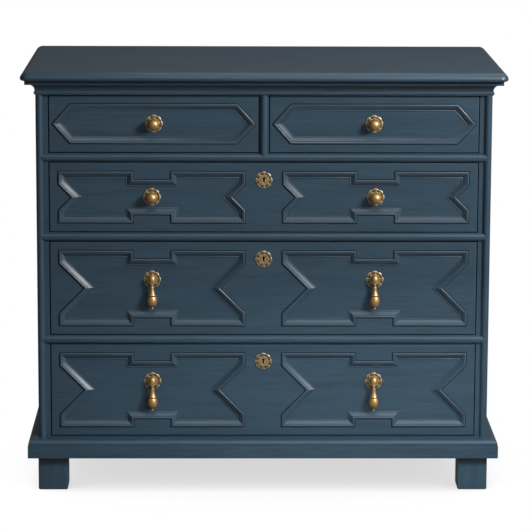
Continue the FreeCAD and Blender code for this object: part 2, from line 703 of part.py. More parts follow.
def small_drawer(name, s):
    """One of the pair at the top: a hexagon moulding and one knob on its rosette."""
    x = sorted((s * divider_half, s * opening_half))
    centre = (sum(x) / 2, sum(small_z) / 2)
    face_x = (x[0] + DRAWER_GAP, x[1] - DRAWER_GAP)
    face_z = (small_z[0] + DRAWER_GAP, small_z[1] - DRAWER_GAP)
    hexagon = hexagon_corners(face_x, face_z)
    drawer_box(name, x, small_z, [hexagon], [centre], [])
    nodes[name + "_moulding"] = mould_loop(hexagon)
    nodes[name + "_rosette"] = rosette(*centre)
    nodes[name + "_knob"] = ball_knob(*centre)


def long_drawer(name, z, with_drops):
    """A long drawer: two moulding loops, an escutcheon, and two knobs or two pear drops."""
    edge = opening_half - DRAWER_GAP
    loop_x = (LOOP_FROM_CENTRE, edge - LOOP_MARGIN)
    inset = DRAWER_GAP + LOOP_MARGIN
    loop_z = (z[0] + inset, z[1] - inset)
    pull_x = sum(loop_x) / 2
    pull_z = sum(z) / 2 + (DROP_ROSETTE_LIFT if with_drops else 0)
    pulls = [(-pull_x, pull_z), (pull_x, pull_z)]
    lock = (0, z[1] - ESCUTCHEON_DROP)
    left = (-loop_x[1], -loop_x[0])
    panels = [loop_corners(x, loop_z) for x in (left, loop_x)]
    drawer_box(name, (-opening_half, opening_half), z, panels, pulls, [lock])
    nodes[name + "_mouldings"] = Part.makeCompound([mould_loop(corners) for corners in panels])
    nodes[name + "_escutcheon"] = escutcheon(*lock)
    plates = [rosette(*pull) for pull in pulls]
    if with_drops:
        posts = [make(*pull) for pull in pulls for make in (drop_post, drop_pin)]
        nodes[name + "_rosettes"] = Part.makeCompound(plates + posts)
        nodes[name + "_drop_left"] = pear_drop(*pulls[0])
        nodes[name + "_drop_right"] = pear_drop(*pulls[1])
    else:
        nodes[name + "_rosettes"] = Part.makeCompound(plates)
        nodes[name + "_knobs"] = Part.makeCompound([ball_knob(*pull) for pull in pulls])


def carcass():
    """The case: boards, frame, cornice, plinth, feet and what the drawers run on."""
    nodes["top_board"] = top_board()
    cornice()
    nodes["top_rail"] = block((-carcass_half, carcass_half), (bead_y, frame_back_y), (cornice_z, slab_z))
    side_y = (frame_back_y, carcass_back_y)
    nodes["side_left"] = block((-carcass_half, -side_inner), side_y, (ledge_z, slab_z))
    nodes["side_right"] = block((side_inner, carcass_half), side_y, (ledge_z, slab_z))
    back_y = (back_panel_y, carcass_back_y)
    nodes["back_panel"] = block((-side_inner, side_inner), back_y, (FOOT_HEIGHT, slab_z))
    bottom_x = (-plinth_inner, plinth_inner)
    bottom_y = (plinth_back_of_front_y, back_panel_y)
    nodes["bottom_board"] = block(bottom_x, bottom_y, (ledge_z - BOTTOM_THICK, ledge_z))
    stiles()
    nodes["upper_rail"] = rail(upper_z[1])
    nodes["middle_rail"] = rail(middle_z[1])
    nodes["lower_rail"] = rail(lower_z[1])
    nodes["centre_divider"] = centre_divider()
    plinth()
    feet()
    nodes["drawer_runners"] = runner_set()


carcass()
small_drawer("small_left", -1)
small_drawer("small_right", 1)
long_drawer("upper", upper_z, with_drops=False)
long_drawer("middle", middle_z, with_drops=True)
long_drawer("lower", lower_z, with_drops=True)

os.makedirs("parts", exist_ok=True)
for node, shape in nodes.items():
    shape.exportStep(f"parts/{node}.step")
print(len(nodes), "nodes written")
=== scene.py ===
"""A painted chest of drawers, dressed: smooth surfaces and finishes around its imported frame."""

import json
import math

import bmesh
import bpy
import numpy as np
from mathutils import Matrix, Vector
from mathutils.geometry import tessellate_polygon


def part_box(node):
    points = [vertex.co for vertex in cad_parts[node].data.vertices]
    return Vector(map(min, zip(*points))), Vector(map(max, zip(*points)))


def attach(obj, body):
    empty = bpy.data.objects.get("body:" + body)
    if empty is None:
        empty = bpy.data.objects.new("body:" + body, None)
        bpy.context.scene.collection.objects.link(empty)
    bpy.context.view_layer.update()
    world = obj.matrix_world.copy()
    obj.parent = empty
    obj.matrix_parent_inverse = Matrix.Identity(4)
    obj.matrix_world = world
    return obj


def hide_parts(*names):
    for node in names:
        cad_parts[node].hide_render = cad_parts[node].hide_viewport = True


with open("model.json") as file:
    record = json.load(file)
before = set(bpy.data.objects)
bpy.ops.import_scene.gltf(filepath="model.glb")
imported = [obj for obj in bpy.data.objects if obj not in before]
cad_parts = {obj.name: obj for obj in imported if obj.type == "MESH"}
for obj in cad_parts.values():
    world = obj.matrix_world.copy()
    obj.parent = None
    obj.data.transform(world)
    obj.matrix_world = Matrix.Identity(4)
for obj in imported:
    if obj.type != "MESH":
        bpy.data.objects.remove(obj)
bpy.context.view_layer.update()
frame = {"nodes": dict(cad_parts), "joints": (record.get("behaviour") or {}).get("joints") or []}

MM = 0.001
TURN = 2 * math.pi

# Sizes of the worked edges, as the frame's pieces have them, and of arrises on edges that are sharp there
TOP_ROUND_HEIGHT = 13 * MM
TOP_ROUND_WIDTH = 17 * MM
TOP_LOWER_ROUND = 5.5 * MM
TOP_CORNER_ROUND = 18 * MM
STILE_BEAD = 16.5 * MM
RAIL_BEAD = 18 * MM
DIVIDER_BEAD = 16.5 * MM
CORNICE_REACH = 22.5 * MM
CORNICE_FILLET = 10 * MM
CORNICE_COVE = 15 * MM
CORNICE_STEP = 1 * MM
CORNICE_BEAD = 8 * MM
CORNICE_BEAD_PROUD = 2.2 * MM
CORNICE_BEAD_LIFT = 1 * MM
CORNICE_ARRIS = 0.8 * MM
PLINTH_BOARD = 64 * MM
PLINTH_EDGE_ROUND = 9.5 * MM
PLINTH_THUMB_SET = 1 * MM
PLINTH_ARRIS = 1.2 * MM
QUIRK_BELOW_LEDGE = 12.8 * MM
QUIRK_WIDTH = 2 * MM
QUIRK_DEPTH = 2 * MM
FOOT_WIDTH = 67.5 * MM
FOOT_DEPTH = 65 * MM
FOOT_EASE = 3 * MM
FRONT_EASE = 1.2 * MM
BOARD_EASE = 0.8 * MM
RAIL_EASE = 0.4 * MM
DRAWER_SIDE_THICK = 12 * MM

# How far inside its edge a flat has its first ring of points, which keeps its shading flat
TOP_MARGIN = 0.7 * MM
FLAT_MARGIN = 3 * MM
FRONT_MARGIN = 2 * MM

# The same margin on eased boards and bars, and the rounding of their corners, as multiples of the easing
BOARD_MARGIN = 2.5
BAR_MARGIN = 2
BOARD_CORNER = 1.3
FRONT_CORNER = 1.5
LEAST_CORNER = 0.3

# Applied moulding, a little lower than the frame's and with a bead at its toe, the outlines that it follows
# and the gap round it
PANEL_GAP = 1.4 * MM
MOULD_WIDTH = 16 * MM
MOULD_BEAD = 5 * MM
MOULD_HEIGHT = 9.3 * MM
MOULD_SHOULDER = 7.8 * MM
MOULD_QUIRK_WIDTH = 1.5 * MM
MOULD_QUIRK_LEVEL = 7.2 * MM
MOULD_TOE = 0.9 * MM
MOULD_TOE_BEAD = 2.4 * MM
MOULD_TOE_PROUD = 0.8 * MM
STICK_GRAIN_SHIFT = 370 * MM
LOOP_LEG = 30 * MM
NOTCH_WIDTH = 86 * MM
NOTCH_DEPTH = 19 * MM
HEXAGON_END_RUN = 40.5 * MM
LOOP_FROM_CENTRE = 42.5 * MM

# Brass hardware. The piercings, the keyholes and the drops are a little fuller than the frame's.
PLATE_THICK = 2.5 * MM
PLATE_LOBES = 8
LOBE_STEP = TURN / PLATE_LOBES
ROSETTE = {
    "radius": 20.2 * MM, "valley": 18.2 * MM, "lobe": 7.0 * MM, "holes": 15.0 * MM, "inner": 8.0 * MM,
}
ESCUTCHEON = {
    "radius": 19.5 * MM, "valley": 17.5 * MM, "lobe": 6.6 * MM, "holes": 14.4 * MM, "inner": 8.6 * MM,
}
HOLE_ALONG = 3.2 * MM
HOLE_ACROSS = 2.5 * MM
KEYHOLE_HALF_HEIGHT = 6.5 * MM
KEYHOLE_EYE = 3.3 * MM
KEYHOLE_WAIST = 1.7 * MM
KEYHOLE_FOOT = 2.4 * MM
KEYHOLE_SQUARENESS = 9
KEYWAY_DEPTH = 10 * MM
KNOB_BALL = 13 * MM
KNOB_STANDOFF = 15.2 * MM
KNOB_NECK = 5 * MM
KNOB_COLLAR = 8 * MM
KNOB_COLLAR_HEIGHT = 2 * MM
KNOB_COLLAR_ROUND = 0.8 * MM
KNOB_COLLAR_TAPER = 1 * MM
KNOB_NECK_FLARE = 0.4 * MM
KNOB_NECK_WAIST = 0.3 * MM
KNOB_NECK_INSET = 1 * MM
POST_HALF_WIDTH = 8.5 * MM
POST_HALF_HEIGHT = 12 * MM
POST_WALL = 8 * MM
PIVOT_DROP = 8.5 * MM
PIN_RADIUS = 1.2 * MM
PIN_SEAT = 3 * MM
TONGUE_THICK = 3 * MM
TONGUE_CLEAR = 0.25 * MM
EYE_RADIUS = 3.4 * MM
EYE_CLEAR = 0.4 * MM
EYE_EASE = 0.5 * MM
DROP_STEM = 3.6 * MM

# Where knobs and posts are closed just short of a point: angles, and a share of a slotted post's height
KNOB_TIP_ANGLE = 0.02
POST_TOP_ANGLE = 0.48 * math.pi
POST_FOOT_SHARE = 0.998

# Relief of a plate: the swell of its lobes and the floor of its piercings, then heights as shares of its
# thickness and rounded stretches as shares of the way from a piercing out to an edge
LOBE_SWELL = 0.3 * MM
LOBE_SWELL_REACH = 2.6 * MM
LOBE_SWELL_OUT = 1 * MM
# The piercings are closed by a brass floor at this height, which the painted hollow shade turns dark brown
# in place of the shade in an open piercing
PIERCING_FLOOR = 0.4 * MM
PIERCING_LIP = 0.55
PIERCING_RISE = 0.3
PIERCING_ROUND = 0.3
RIM_FALL = 0.4
RIM_ROUND = 0.5
PLATE_RINGS = (0, 0.1, 0.25, 0.5, 0.7, 0.85, 0.95, 1.0)

# Rings down a keyhole's wall: heights as shares of the plate's thickness, and how far each opens out
KEYHOLE_LEVELS = (0.85, 0.7, 0)
KEYHOLE_FLARE = (1.15, 1.0, 1.0)

# Drop profile in millimetres: (radius, distance below the pin)
DROP_BELL = (
    (2.8, 5.8), (3.9, 6.4), (4.3, 9.0), (4.7, 13.5), (5.8, 18.5), (7.3, 23.0), (8.3, 25.2), (8.5, 26.0),
    (8.0, 26.6), (6.5, 27.0),
)
DROP_PEAR = (
    (6.2, 27.3), (6.8, 27.9), (8.5, 28.5), (9.8, 31.2), (10.9, 34.8), (11.4, 38.6), (11.3, 42.0),
    (10.3, 45.8), (8.2, 49.2), (5.4, 51.8), (3.1, 53.2), (2.1, 54.1), (2.1, 55.0), (2.6, 56.4),
    (2.55, 57.5), (1.8, 58.8), (0.3, 59.4),
)

# Steps along the rounded pieces. The edge of a plate's eighth runs along the hub, up one side, back along
# the rim and down the other side.
NOSE_STEPS = 12
PLATE_ARC_STEPS = 12
PLATE_SPOKE_STEPS = 7
RIM_START = PLATE_ARC_STEPS + PLATE_SPOKE_STEPS
RIM_END = RIM_START + PLATE_ARC_STEPS
KEYWAY_POINTS = 32
KNOB_STEPS = 31
KNOB_SEGMENTS = 64
DROP_SEGMENTS = 56
PIN_SEGMENTS = 20
EYE_STEPS = 16
POST_ACROSS_STEPS = 12
POST_UPPER_STEPS = 14
POST_LOWER_STEPS = 10

# Points nearer than this are one, and faces that meet at a wider angle have a sharp edge
MERGE_DISTANCE = 1e-6
CREASE_ANGLE = math.radians(32)

# Places read from the frame
top_low, top_high = (np.array(c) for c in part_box("top_board"))
stile_low, stile_high = (np.array(c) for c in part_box("stile_left"))
plinth_low, plinth_high = (np.array(c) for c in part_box("plinth_front"))
face_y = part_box("upper_front")[0].y
panel_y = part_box("small_left_rosette")[1].y
bead_y, frame_back_y = stile_low[1], stile_high[1]
bead_proud = face_y - bead_y
carcass_half, opening_half = -stile_low[0], -stile_high[0]
ledge_z, cornice_z = stile_low[2], stile_high[2]
carcass_back_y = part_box("side_left")[1].y


def centre_of(node):
    """The middle of a node's box."""
    low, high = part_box(node)
    return np.array((low + high) / 2)


def grid(points, wrap_rows=False, wrap_cols=False):
    """Four-cornered faces over a grid of points: each joins a point to its next in row and in column."""
    rows, cols = points.shape[:2]
    r = np.arange(rows if wrap_rows else rows - 1)
    c = np.arange(cols if wrap_cols else cols - 1)
    r, c = np.meshgrid(r, c, indexing="ij")
    next_r, next_c = (r + 1) % rows, (c + 1) % cols
    corners = [r * cols + c, r * cols + next_c, next_r * cols + next_c, next_r * cols + c]
    return points.reshape(-1, 3), np.stack(corners, -1).reshape(-1, 4).tolist()


def solid(rings):
    """A closed solid through rings of points: bands from ring to ring, and a flat cap on the two ends."""
    points, faces = grid(rings, wrap_cols=True)
    count = rings.shape[1]
    first = list(range(count))
    last = list(range(len(points) - count, len(points)))
    return points, faces + [first[::-1], last]


def placed(x, y, z):
    """Stacks three arrays, stretched to one shape, as points."""
    return np.stack(np.broadcast_arrays(x, y, z), -1).astype(float)


def bead_curve(width, proud, steps=12):
    """A half-round bead: offsets across and heights of the circle through its two feet and its crown."""
    radius = (width**2 / 4 + proud**2) / (2 * proud)
    reach = math.acos(max(-1.0, 1 - proud / radius))
    angle = np.linspace(-reach, reach, steps + 1)
    return radius * np.sin(angle), radius * np.cos(angle) - (radius - proud)


def quarter(steps=6):
    """Sines and cosines of a quarter turn, for eased edges."""
    angle = np.linspace(0, math.pi / 2, steps + 1)
    return np.sin(angle), np.cos(angle)


def rounded_rectangle(half_x, half_z, radius, steps=7):
    """Corner arcs of a rectangle, clockwise from the top of the upper right one, for arrays of sizes."""
    half_x, half_z, radius = (np.asarray(v, float)[..., None] for v in (half_x, half_z, radius))
    s, c = quarter(steps)
    xs, zs = [], []
    for sx, sz, along, up in ((1, 1, s, c), (1, -1, c, s), (-1, -1, s, c), (-1, 1, c, s)):
        xs.append(sx * (half_x - radius + radius * along))
        zs.append(sz * (half_z - radius + radius * up))
    return np.concatenate(xs, -1), np.concatenate(zs, -1)


def mitres(corners, closed):
    """At each corner the move that shifts both edges one unit to their right: (n1 + n2) / (1 + n1.n2)."""
    ahead = np.roll(corners, -1, 0) - corners
    ahead /= np.linalg.norm(ahead, axis=1)[:, None]
    after = np.stack([ahead[:, 1], -ahead[:, 0]], -1)
    before = np.roll(after, 1, 0)
    if not closed:
        after[-1], before[0] = before[-1], after[0]
    return (before + after) / (1 + np.sum(before * after, 1))[:, None]


def piece(name, shells, material, body, slot, *nodes, uv=None):
    """Makes one object from closed shells, merged and turned outwards, and seats it in the frame."""
    points, faces, first = [], [], 0
    for shell_points, shell_faces in shells:
        points.append(shell_points)
        faces += [[first + corner for corner in face] for face in shell_faces]
        first += len(shell_points)
    mesh = bpy.data.meshes.new(name)
    mesh.from_pydata(np.concatenate(points).tolist(), [], faces)
    if uv is not None:
        mesh.uv_layers.new(name="along_grain").data.foreach_set("uv", np.asarray(uv, np.float32).ravel())
    work = bmesh.new()
    work.from_mesh(mesh)
    bmesh.ops.remove_doubles(work, verts=work.verts, dist=MERGE_DISTANCE)
    bmesh.ops.recalc_face_normals(work, faces=work.faces)
    work.to_mesh(mesh)
    work.free()
    mesh.polygons.foreach_set("use_smooth", np.ones(len(mesh.polygons), bool))
    mesh.set_sharp_from_angle(angle=CREASE_ANGLE)
    mesh.materials.append(material)
    made = bpy.data.objects.new(name, mesh)
    bpy.context.scene.collection.objects.link(made)
    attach(made, body)
    if nodes:
        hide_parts(*nodes)


def linear(hex_colour):
    """An sRGB hex colour as linear red, green, blue and a full alpha."""
    value = np.array([int(hex_colour[i : i + 2], 16) for i in (1, 3, 5)]) / 255
    value = np.where(value <= 0.04045, value / 12.92, ((value + 0.055) / 1.055) ** 2.4)
    return (*value.tolist(), 1.0)


def add(tree, kind, sockets=None, **settings):
    """Adds a node: its settings, then its sockets by name or number, linked where the value is a socket."""
    node = tree.nodes.new(kind)
    for key, value in settings.items():
        setattr(node, key, value)
    for key, value in (sockets or {}).items():
        if isinstance(value, bpy.types.NodeSocket):
            tree.links.new(value, node.inputs[key])
        else:
            node.inputs[key].default_value = value
    return node


def new_material(name):
    """An empty node material and its tree."""
    material = bpy.data.materials.new(name)
    material.use_nodes = True
    material.node_tree.nodes.clear()
    return material, material.node_tree


# Streaks of the grain, real sizes. Oak's vessels are about 0.3 mm wide: they are drawn wider, so that they
# show. The tone spreads from dark to light over TONE_SPAN on either side of the streaks' mean.
STREAK_LENGTH = 70 * MM
STREAK_WIDTH = 2.2 * MM
FIGURE_LENGTH = 420 * MM
FIGURE_WIDTH = 26 * MM
FIGURE_SHARE = 0.4
TONE_SPAN = 0.2
PORE_DEPTH = 0.6 * MM

# Mean of a noise, and the stretch of it that patterns use
NOISE_MEAN = 0.5
NOISE_LOW, NOISE_HIGH = 0.3, 0.7


def stretched(tree, source, axis, length, width):
    """Coordinates divided by a streak's length along the grain axis and by its width across it."""
    scale = [1 / width] * 3
    scale[axis] = 1 / length
    return add(tree, "ShaderNodeMapping", {"Vector": source, "Scale": scale}).outputs[0]


def wood_streaks(tree, source, axis):
    """Fine pores and broad figure, both drawn out along the grain."""
    pores = add(tree, "ShaderNodeTexNoise", {
        "Vector": stretched(tree, source, axis, STREAK_LENGTH, STREAK_WIDTH),
        "Scale": 1.0, "Detail": 4.0, "Roughness": 0.62,
    })
    figure = add(tree, "ShaderNodeTexNoise", {
        "Vector": stretched(tree, source, axis, FIGURE_LENGTH, FIGURE_WIDTH),
        "Scale": 1.0, "Detail": 3.0, "Roughness": 0.5, "Distortion": 0.7,
    })
    return pores.outputs["Fac"], figure.outputs["Fac"]


def wood_finish(name, axis, dark, light, smooth, rough, dent, shine, by_uv=False):
    """Shared by the paint and the lining: two tones along the grain, gloss and dents from the pores."""
    material, tree = new_material(name)
    coords = add(tree, "ShaderNodeTexCoord").outputs["UV" if by_uv else "Object"]
    pores, figure = wood_streaks(tree, coords, axis)
    both = add(
        tree, "ShaderNodeMath", {0: figure, 1: FIGURE_SHARE, 2: pores}, operation="MULTIPLY_ADD",
    ).outputs[0]
    middle = NOISE_MEAN + NOISE_MEAN * FIGURE_SHARE
    tone = add(tree, "ShaderNodeMapRange", {
        "Value": both, 1: middle - TONE_SPAN, 2: middle + TONE_SPAN,
    }).outputs[0]
    colour = add(tree, "ShaderNodeMix", {0: tone, 6: linear(dark), 7: linear(light)}, data_type="RGBA")
    gloss = add(tree, "ShaderNodeMapRange", {
        "Value": pores, 1: NOISE_LOW, 2: NOISE_HIGH, 3: rough, 4: smooth,
    }).outputs[0]
    bump = add(tree, "ShaderNodeBump", {"Height": pores, "Strength": dent, "Distance": PORE_DEPTH})
    shader = add(tree, "ShaderNodeBsdfPrincipled", {
        "Base Color": colour.outputs[2], "Roughness": gloss, "Normal": bump.outputs[0],
        "Specular IOR Level": shine,
    })
    add(tree, "ShaderNodeOutputMaterial", {"Surface": shader.outputs[0]})
    return material


# Satin paint brushed over open-grained oak: one calm slate blue, its gloss broken by dents along the grain.
PAINT_DARK, PAINT_LIGHT = "#233441", "#2F4452"
PAINT_SMOOTH, PAINT_ROUGH = 0.3, 0.42
PAINT_DENT = 0.22
PAINT_SHINE = 0.5
paint = {
    axis: wood_finish(
        f"slate_paint_on_oak_{axis}", "xyz".index(axis), PAINT_DARK, PAINT_LIGHT,
        PAINT_SMOOTH, PAINT_ROUGH, PAINT_DENT, PAINT_SHINE,
    )
    for axis in "xyz"
}

# The same paint along the sticks of moulding: a broader and brighter glint than on the flats.
STICK_SMOOTH, STICK_ROUGH = 0.36, 0.44
STICK_SHINE = 0.75
stick_paint = wood_finish(
    "slate_paint_on_moulding", 0, PAINT_DARK, PAINT_LIGHT,
    STICK_SMOOTH, STICK_ROUGH, PAINT_DENT, STICK_SHINE, by_uv=True,
)

# Planed pale oak under a matt clear lacquer, as inside the drawers: straw brown with darker streaks.
LINING_DARK, LINING_LIGHT = "#A07E55", "#C9A97C"
LINING_SMOOTH, LINING_ROUGH = 0.5, 0.68
LINING_DENT = 0.3
LINING_SHINE = 0.5
lining = {
    axis: wood_finish(
        f"lacquered_oak_{axis}", "xyz".index(axis), LINING_DARK, LINING_LIGHT,
        LINING_SMOOTH, LINING_ROUGH, LINING_DENT, LINING_SHINE,
    )
    for axis in "xyz"
}


# Brown of the hollows, patina and painted shade, and cream of the edges, wear and painted highlight, on all
# the brass. Each has its reach and the shares of open space, above the surface or under it, over which it
# comes and goes.
BRASS_PATINA_AND_SHADE, BRASS_WEAR_AND_HIGHLIGHT = "#17100A", "#E2CFA0"
HOLLOW_REACH = 7 * MM
HOLLOW_DEEP, HOLLOW_OPEN = 0.6, 0.95
EDGE_REACH = 2.3 * MM
EDGE_FLAT, EDGE_SHARP = 0.95, 0.55
PROUD_FROM, PROUD_FULL = 0.8, 0.97

# Clouds of tarnish and grit of the casting, real sizes, and the lacquer over them
CLOUD_SIZE = 6 * MM
CLOUD_DULL, CLOUD_BRIGHT = 0.75, 1.0
GRIT_SIZE = 0.9 * MM
GRIT_DENT = 0.12
GRIT_DEPTH = 0.2 * MM
BRASS_SMOOTH, BRASS_ROUGH = 0.44, 0.52
BRASS_METALLIC = 0.75
LACQUER_WEIGHT = 0.6
LACQUER_ROUGH = 0.32


def aged_brass(name, field):
    """Cast brass, lacquered: patina and painted shade in hollows, wear and painted highlight on edges, a
    tone between.
    """
    material, tree = new_material(name)
    coords = add(tree, "ShaderNodeTexCoord").outputs["Object"]
    cloud = add(tree, "ShaderNodeTexNoise", {
        "Vector": coords, "Scale": 1 / CLOUD_SIZE, "Detail": 3.0,
    }).outputs["Fac"]
    grit = add(tree, "ShaderNodeTexNoise", {
        "Vector": coords, "Scale": 1 / GRIT_SIZE, "Detail": 2.0,
    }).outputs["Fac"]
    own = {"samples": 8, "only_local": True}
    open_above = add(tree, "ShaderNodeAmbientOcclusion", {"Distance": HOLLOW_REACH}, **own)
    solid_under = add(tree, "ShaderNodeAmbientOcclusion", {"Distance": EDGE_REACH}, inside=True, **own)
    above, under = open_above.outputs["AO"], solid_under.outputs["AO"]
    # Patina and painted shade: brown where hollows close the surface in
    clear_of_patina_and_shade = add(tree, "ShaderNodeMapRange", {"Value": above, 1: HOLLOW_DEEP, 2: HOLLOW_OPEN}).outputs[0]
    proud = add(tree, "ShaderNodeMapRange", {"Value": above, 1: PROUD_FROM, 2: PROUD_FULL}).outputs[0]
    # Wear and painted highlight: cream on sharp edges that stand proud
    rubbed_and_highlit = add(tree, "ShaderNodeMapRange", {
        "Value": under, 1: EDGE_FLAT, 2: EDGE_SHARP, 4: proud,
    }).outputs[0]
    patchy = add(tree, "ShaderNodeMapRange", {
        "Value": cloud, 1: NOISE_LOW, 2: NOISE_HIGH, 3: CLOUD_DULL, 4: CLOUD_BRIGHT,
    }).outputs[0]
    bright = add(tree, "ShaderNodeMath", {0: clear_of_patina_and_shade, 1: patchy}, operation="MULTIPLY").outputs[0]
    rims = add(
        tree, "ShaderNodeMix", {0: rubbed_and_highlit, 6: linear(field), 7: linear(BRASS_WEAR_AND_HIGHLIGHT)}, data_type="RGBA",
    ).outputs[2]
    colour = add(
        tree, "ShaderNodeMix", {0: bright, 6: linear(BRASS_PATINA_AND_SHADE), 7: rims}, data_type="RGBA",
    ).outputs[2]
    gloss = add(tree, "ShaderNodeMapRange", {
        "Value": cloud, 1: NOISE_LOW, 2: NOISE_HIGH, 3: BRASS_ROUGH, 4: BRASS_SMOOTH,
    }).outputs[0]
    bump = add(tree, "ShaderNodeBump", {"Height": grit, "Strength": GRIT_DENT, "Distance": GRIT_DEPTH})
    shader = add(tree, "ShaderNodeBsdfPrincipled", {
        "Base Color": colour, "Metallic": BRASS_METALLIC, "Roughness": gloss, "Normal": bump.outputs[0],
        "Coat Weight": LACQUER_WEIGHT, "Coat Roughness": LACQUER_ROUGH,
    })
    add(tree, "ShaderNodeOutputMaterial", {"Surface": shader.outputs[0]})
    return material


# Turned knobs and drops, the lighter tone: warm gold with a soft cream glint
turned_brass = aged_brass("aged_turned_brass", "#BC955A")
# Pierced plates, the darker tone: tobacco brown, with painted highlight and wear on the pale scalloped rims
plate_brass = aged_brass("aged_pierced_brass", "#8C6A3E")


def eased_board(low, high, ease):
    """A board with eased edges: rounded rectangles, drawn in on a quarter circle at the front and back."""
    low, high = np.asarray(low, float), np.asarray(high, float)
    middle, half = (low + high) / 2, (high - low) / 2
    s, c = quarter(4)
    margin = BOARD_MARGIN * ease
    inset = np.concatenate([[margin], ease * (1 - s), ease * (1 - s[::-1]), [margin]])
    depth = np.concatenate([[0], ease * (1 - c), 2 * half[1] - ease * (1 - c[::-1]), [2 * half[1]]])
    corner = np.maximum(BOARD_CORNER * ease - inset, LEAST_CORNER * ease)
    x, z = rounded_rectangle(half[0] - inset, half[2] - inset, corner, 4)
    return solid(placed(middle[0] + x, (low[1] + depth)[:, None], middle[2] + z))


def top_board():
    """The slab: rounded plan outlines, drawn in by a quarter round below and by a flatter arc above."""
    s, c = quarter(8)
    radius = (TOP_ROUND_WIDTH**2 + TOP_ROUND_HEIGHT**2) / (2 * TOP_ROUND_HEIGHT)
    turn = np.linspace(math.asin(1 - TOP_ROUND_HEIGHT / radius), math.pi / 2, NOSE_STEPS + 1)
    inset = np.concatenate([
        [TOP_LOWER_ROUND + FLAT_MARGIN], TOP_LOWER_ROUND * (1 - s),
        TOP_ROUND_WIDTH - radius * np.cos(turn), [TOP_ROUND_WIDTH + TOP_MARGIN],
    ])[:, None]
    z = np.concatenate([
        [top_low[2]], top_low[2] + TOP_LOWER_ROUND * (1 - c),
        top_high[2] - radius * (1 - np.sin(turn)), [top_high[2]],
    ])[:, None]
    corner = TOP_CORNER_ROUND - inset
    half = top_high[0] - inset
    round_x = half - corner * (1 - s)
    round_y = top_low[1] + inset + corner * (1 - c)
    back = np.full_like(half, top_high[1])
    x = np.concatenate([half, round_x[:, ::-1], -round_x, -half], 1)
    y = np.concatenate([back, round_y[:, ::-1], round_y, back], 1)
    piece("top_board_dressed", [solid(placed(x, y, z))], paint["x"], "carcass", "painted_oak", "top_board")


def three_lengths(out, up, half, front_y, back_y, nodes):
    """A moulded section (out, up) carried round the left, front and right, mitred at the front corners."""
    corners = np.array([(-half, back_y), (-half, front_y), (half, front_y), (half, back_y)])
    shift = mitres(corners, closed=False)
    plan = corners[:, None] + out[None, :, None] * shift[:, None]
    rings = placed(plan[..., 0], plan[..., 1], up)
    for start, (node, axis) in enumerate(zip(nodes, "yxy")):
        shell = solid(rings[start : start + 2])
        piece(node + "_dressed", [shell], paint[axis], "carcass", "painted_oak", node)


def cornice():
    """From the foot up: a small bead, a plain band, a hollow cove and a fillet with eased edges."""
    slab_z = top_low[2]
    across, proud = bead_curve(CORNICE_BEAD, CORNICE_BEAD_PROUD, 8)
    bead_z = cornice_z + CORNICE_BEAD_LIFT + CORNICE_BEAD / 2
    s, c = quarter(8)
    fillet_z = slab_z - CORNICE_FILLET
    ease_s, ease_c = quarter(3)
    edge = CORNICE_ARRIS
    out = np.concatenate([
        [0, CORNICE_STEP], CORNICE_STEP + proud, CORNICE_STEP + CORNICE_COVE * (1 - c),
        CORNICE_REACH - edge + edge * ease_s, CORNICE_REACH - edge + edge * ease_c, [0],
    ])
    up = np.concatenate([
        [cornice_z, cornice_z], bead_z + across, fillet_z - CORNICE_COVE * (1 - s),
        fillet_z + edge * (1 - ease_c), slab_z - edge * (1 - ease_s), [slab_z],
    ])
    nodes = ("cornice_left", "cornice_front", "cornice_right")
    three_lengths(out, up, carcass_half, bead_y, carcass_back_y, nodes)


def plinth():
    """From the foot up: an eased lower edge, the flat, a V quirk, a set-in thumb round and the ledge."""
    foot_z = plinth_low[2]
    quirk_z = ledge_z - QUIRK_BELOW_LEDGE
    s, c = quarter(7)
    ease_s, ease_c = quarter(3)
    thumb = PLINTH_EDGE_ROUND
    inward = np.concatenate([
        [PLINTH_BOARD], PLINTH_ARRIS * (1 - ease_s), [0, QUIRK_DEPTH], PLINTH_THUMB_SET + thumb * (1 - c),
        [PLINTH_THUMB_SET + thumb + FLAT_MARGIN, PLINTH_BOARD],
    ])
    up = np.concatenate([
        [foot_z], foot_z + PLINTH_ARRIS * (1 - ease_c), [quirk_z - QUIRK_WIDTH / 2, quirk_z],
        np.maximum(ledge_z - thumb * (1 - s), quirk_z + QUIRK_WIDTH / 2), [ledge_z, ledge_z],
    ])
    nodes = ("plinth_left", "plinth_front", "plinth_right")
    back_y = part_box("plinth_left")[1].y
    three_lengths(-inward, up, plinth_high[0], plinth_low[1], back_y, nodes)


def feet():
    """Four block feet with eased edges, in the corners of the frame's own feet."""
    low, high = (np.array(c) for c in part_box("feet"))
    shells = []
    for x in (low[0], high[0] - FOOT_WIDTH):
        for y in (low[1], high[1] - FOOT_DEPTH):
            shells.append(eased_board((x, y, low[2]), (x + FOOT_WIDTH, y + FOOT_DEPTH, high[2]), FOOT_EASE))
    piece("feet_dressed", shells, paint["z"], "carcass", "painted_oak", "feet")


def stiles():
    """A section with a half-round bead at its outer edge and a flat beside it, pushed straight up."""
    across, proud = bead_curve(STILE_BEAD, bead_proud)
    middle = carcass_half - STILE_BEAD / 2
    x = np.concatenate([[opening_half, opening_half], middle + across, [carcass_half]])
    y = np.concatenate([[frame_back_y, face_y], face_y - proud, [frame_back_y]])
    ends = np.array([ledge_z, cornice_z])[:, None]
    for side, name in ((-1, "stile_left"), (1, "stile_right")):
        shell = solid(placed(side * x, y, ends))
        piece(name + "_dressed", [shell], paint["z"], "carcass", "painted_oak", name)


def coped_bead(width, over_width):
    """A half-round bead's offsets, heights and how far its end stands back to sit over another bead."""
    across, proud = bead_curve(width, bead_proud)
    radius = (over_width**2 / 4 + bead_proud**2) / (2 * bead_proud)
    saddle = np.sqrt(np.maximum(radius**2 - (proud - bead_proud + radius) ** 2, 0))
    return across, proud, saddle


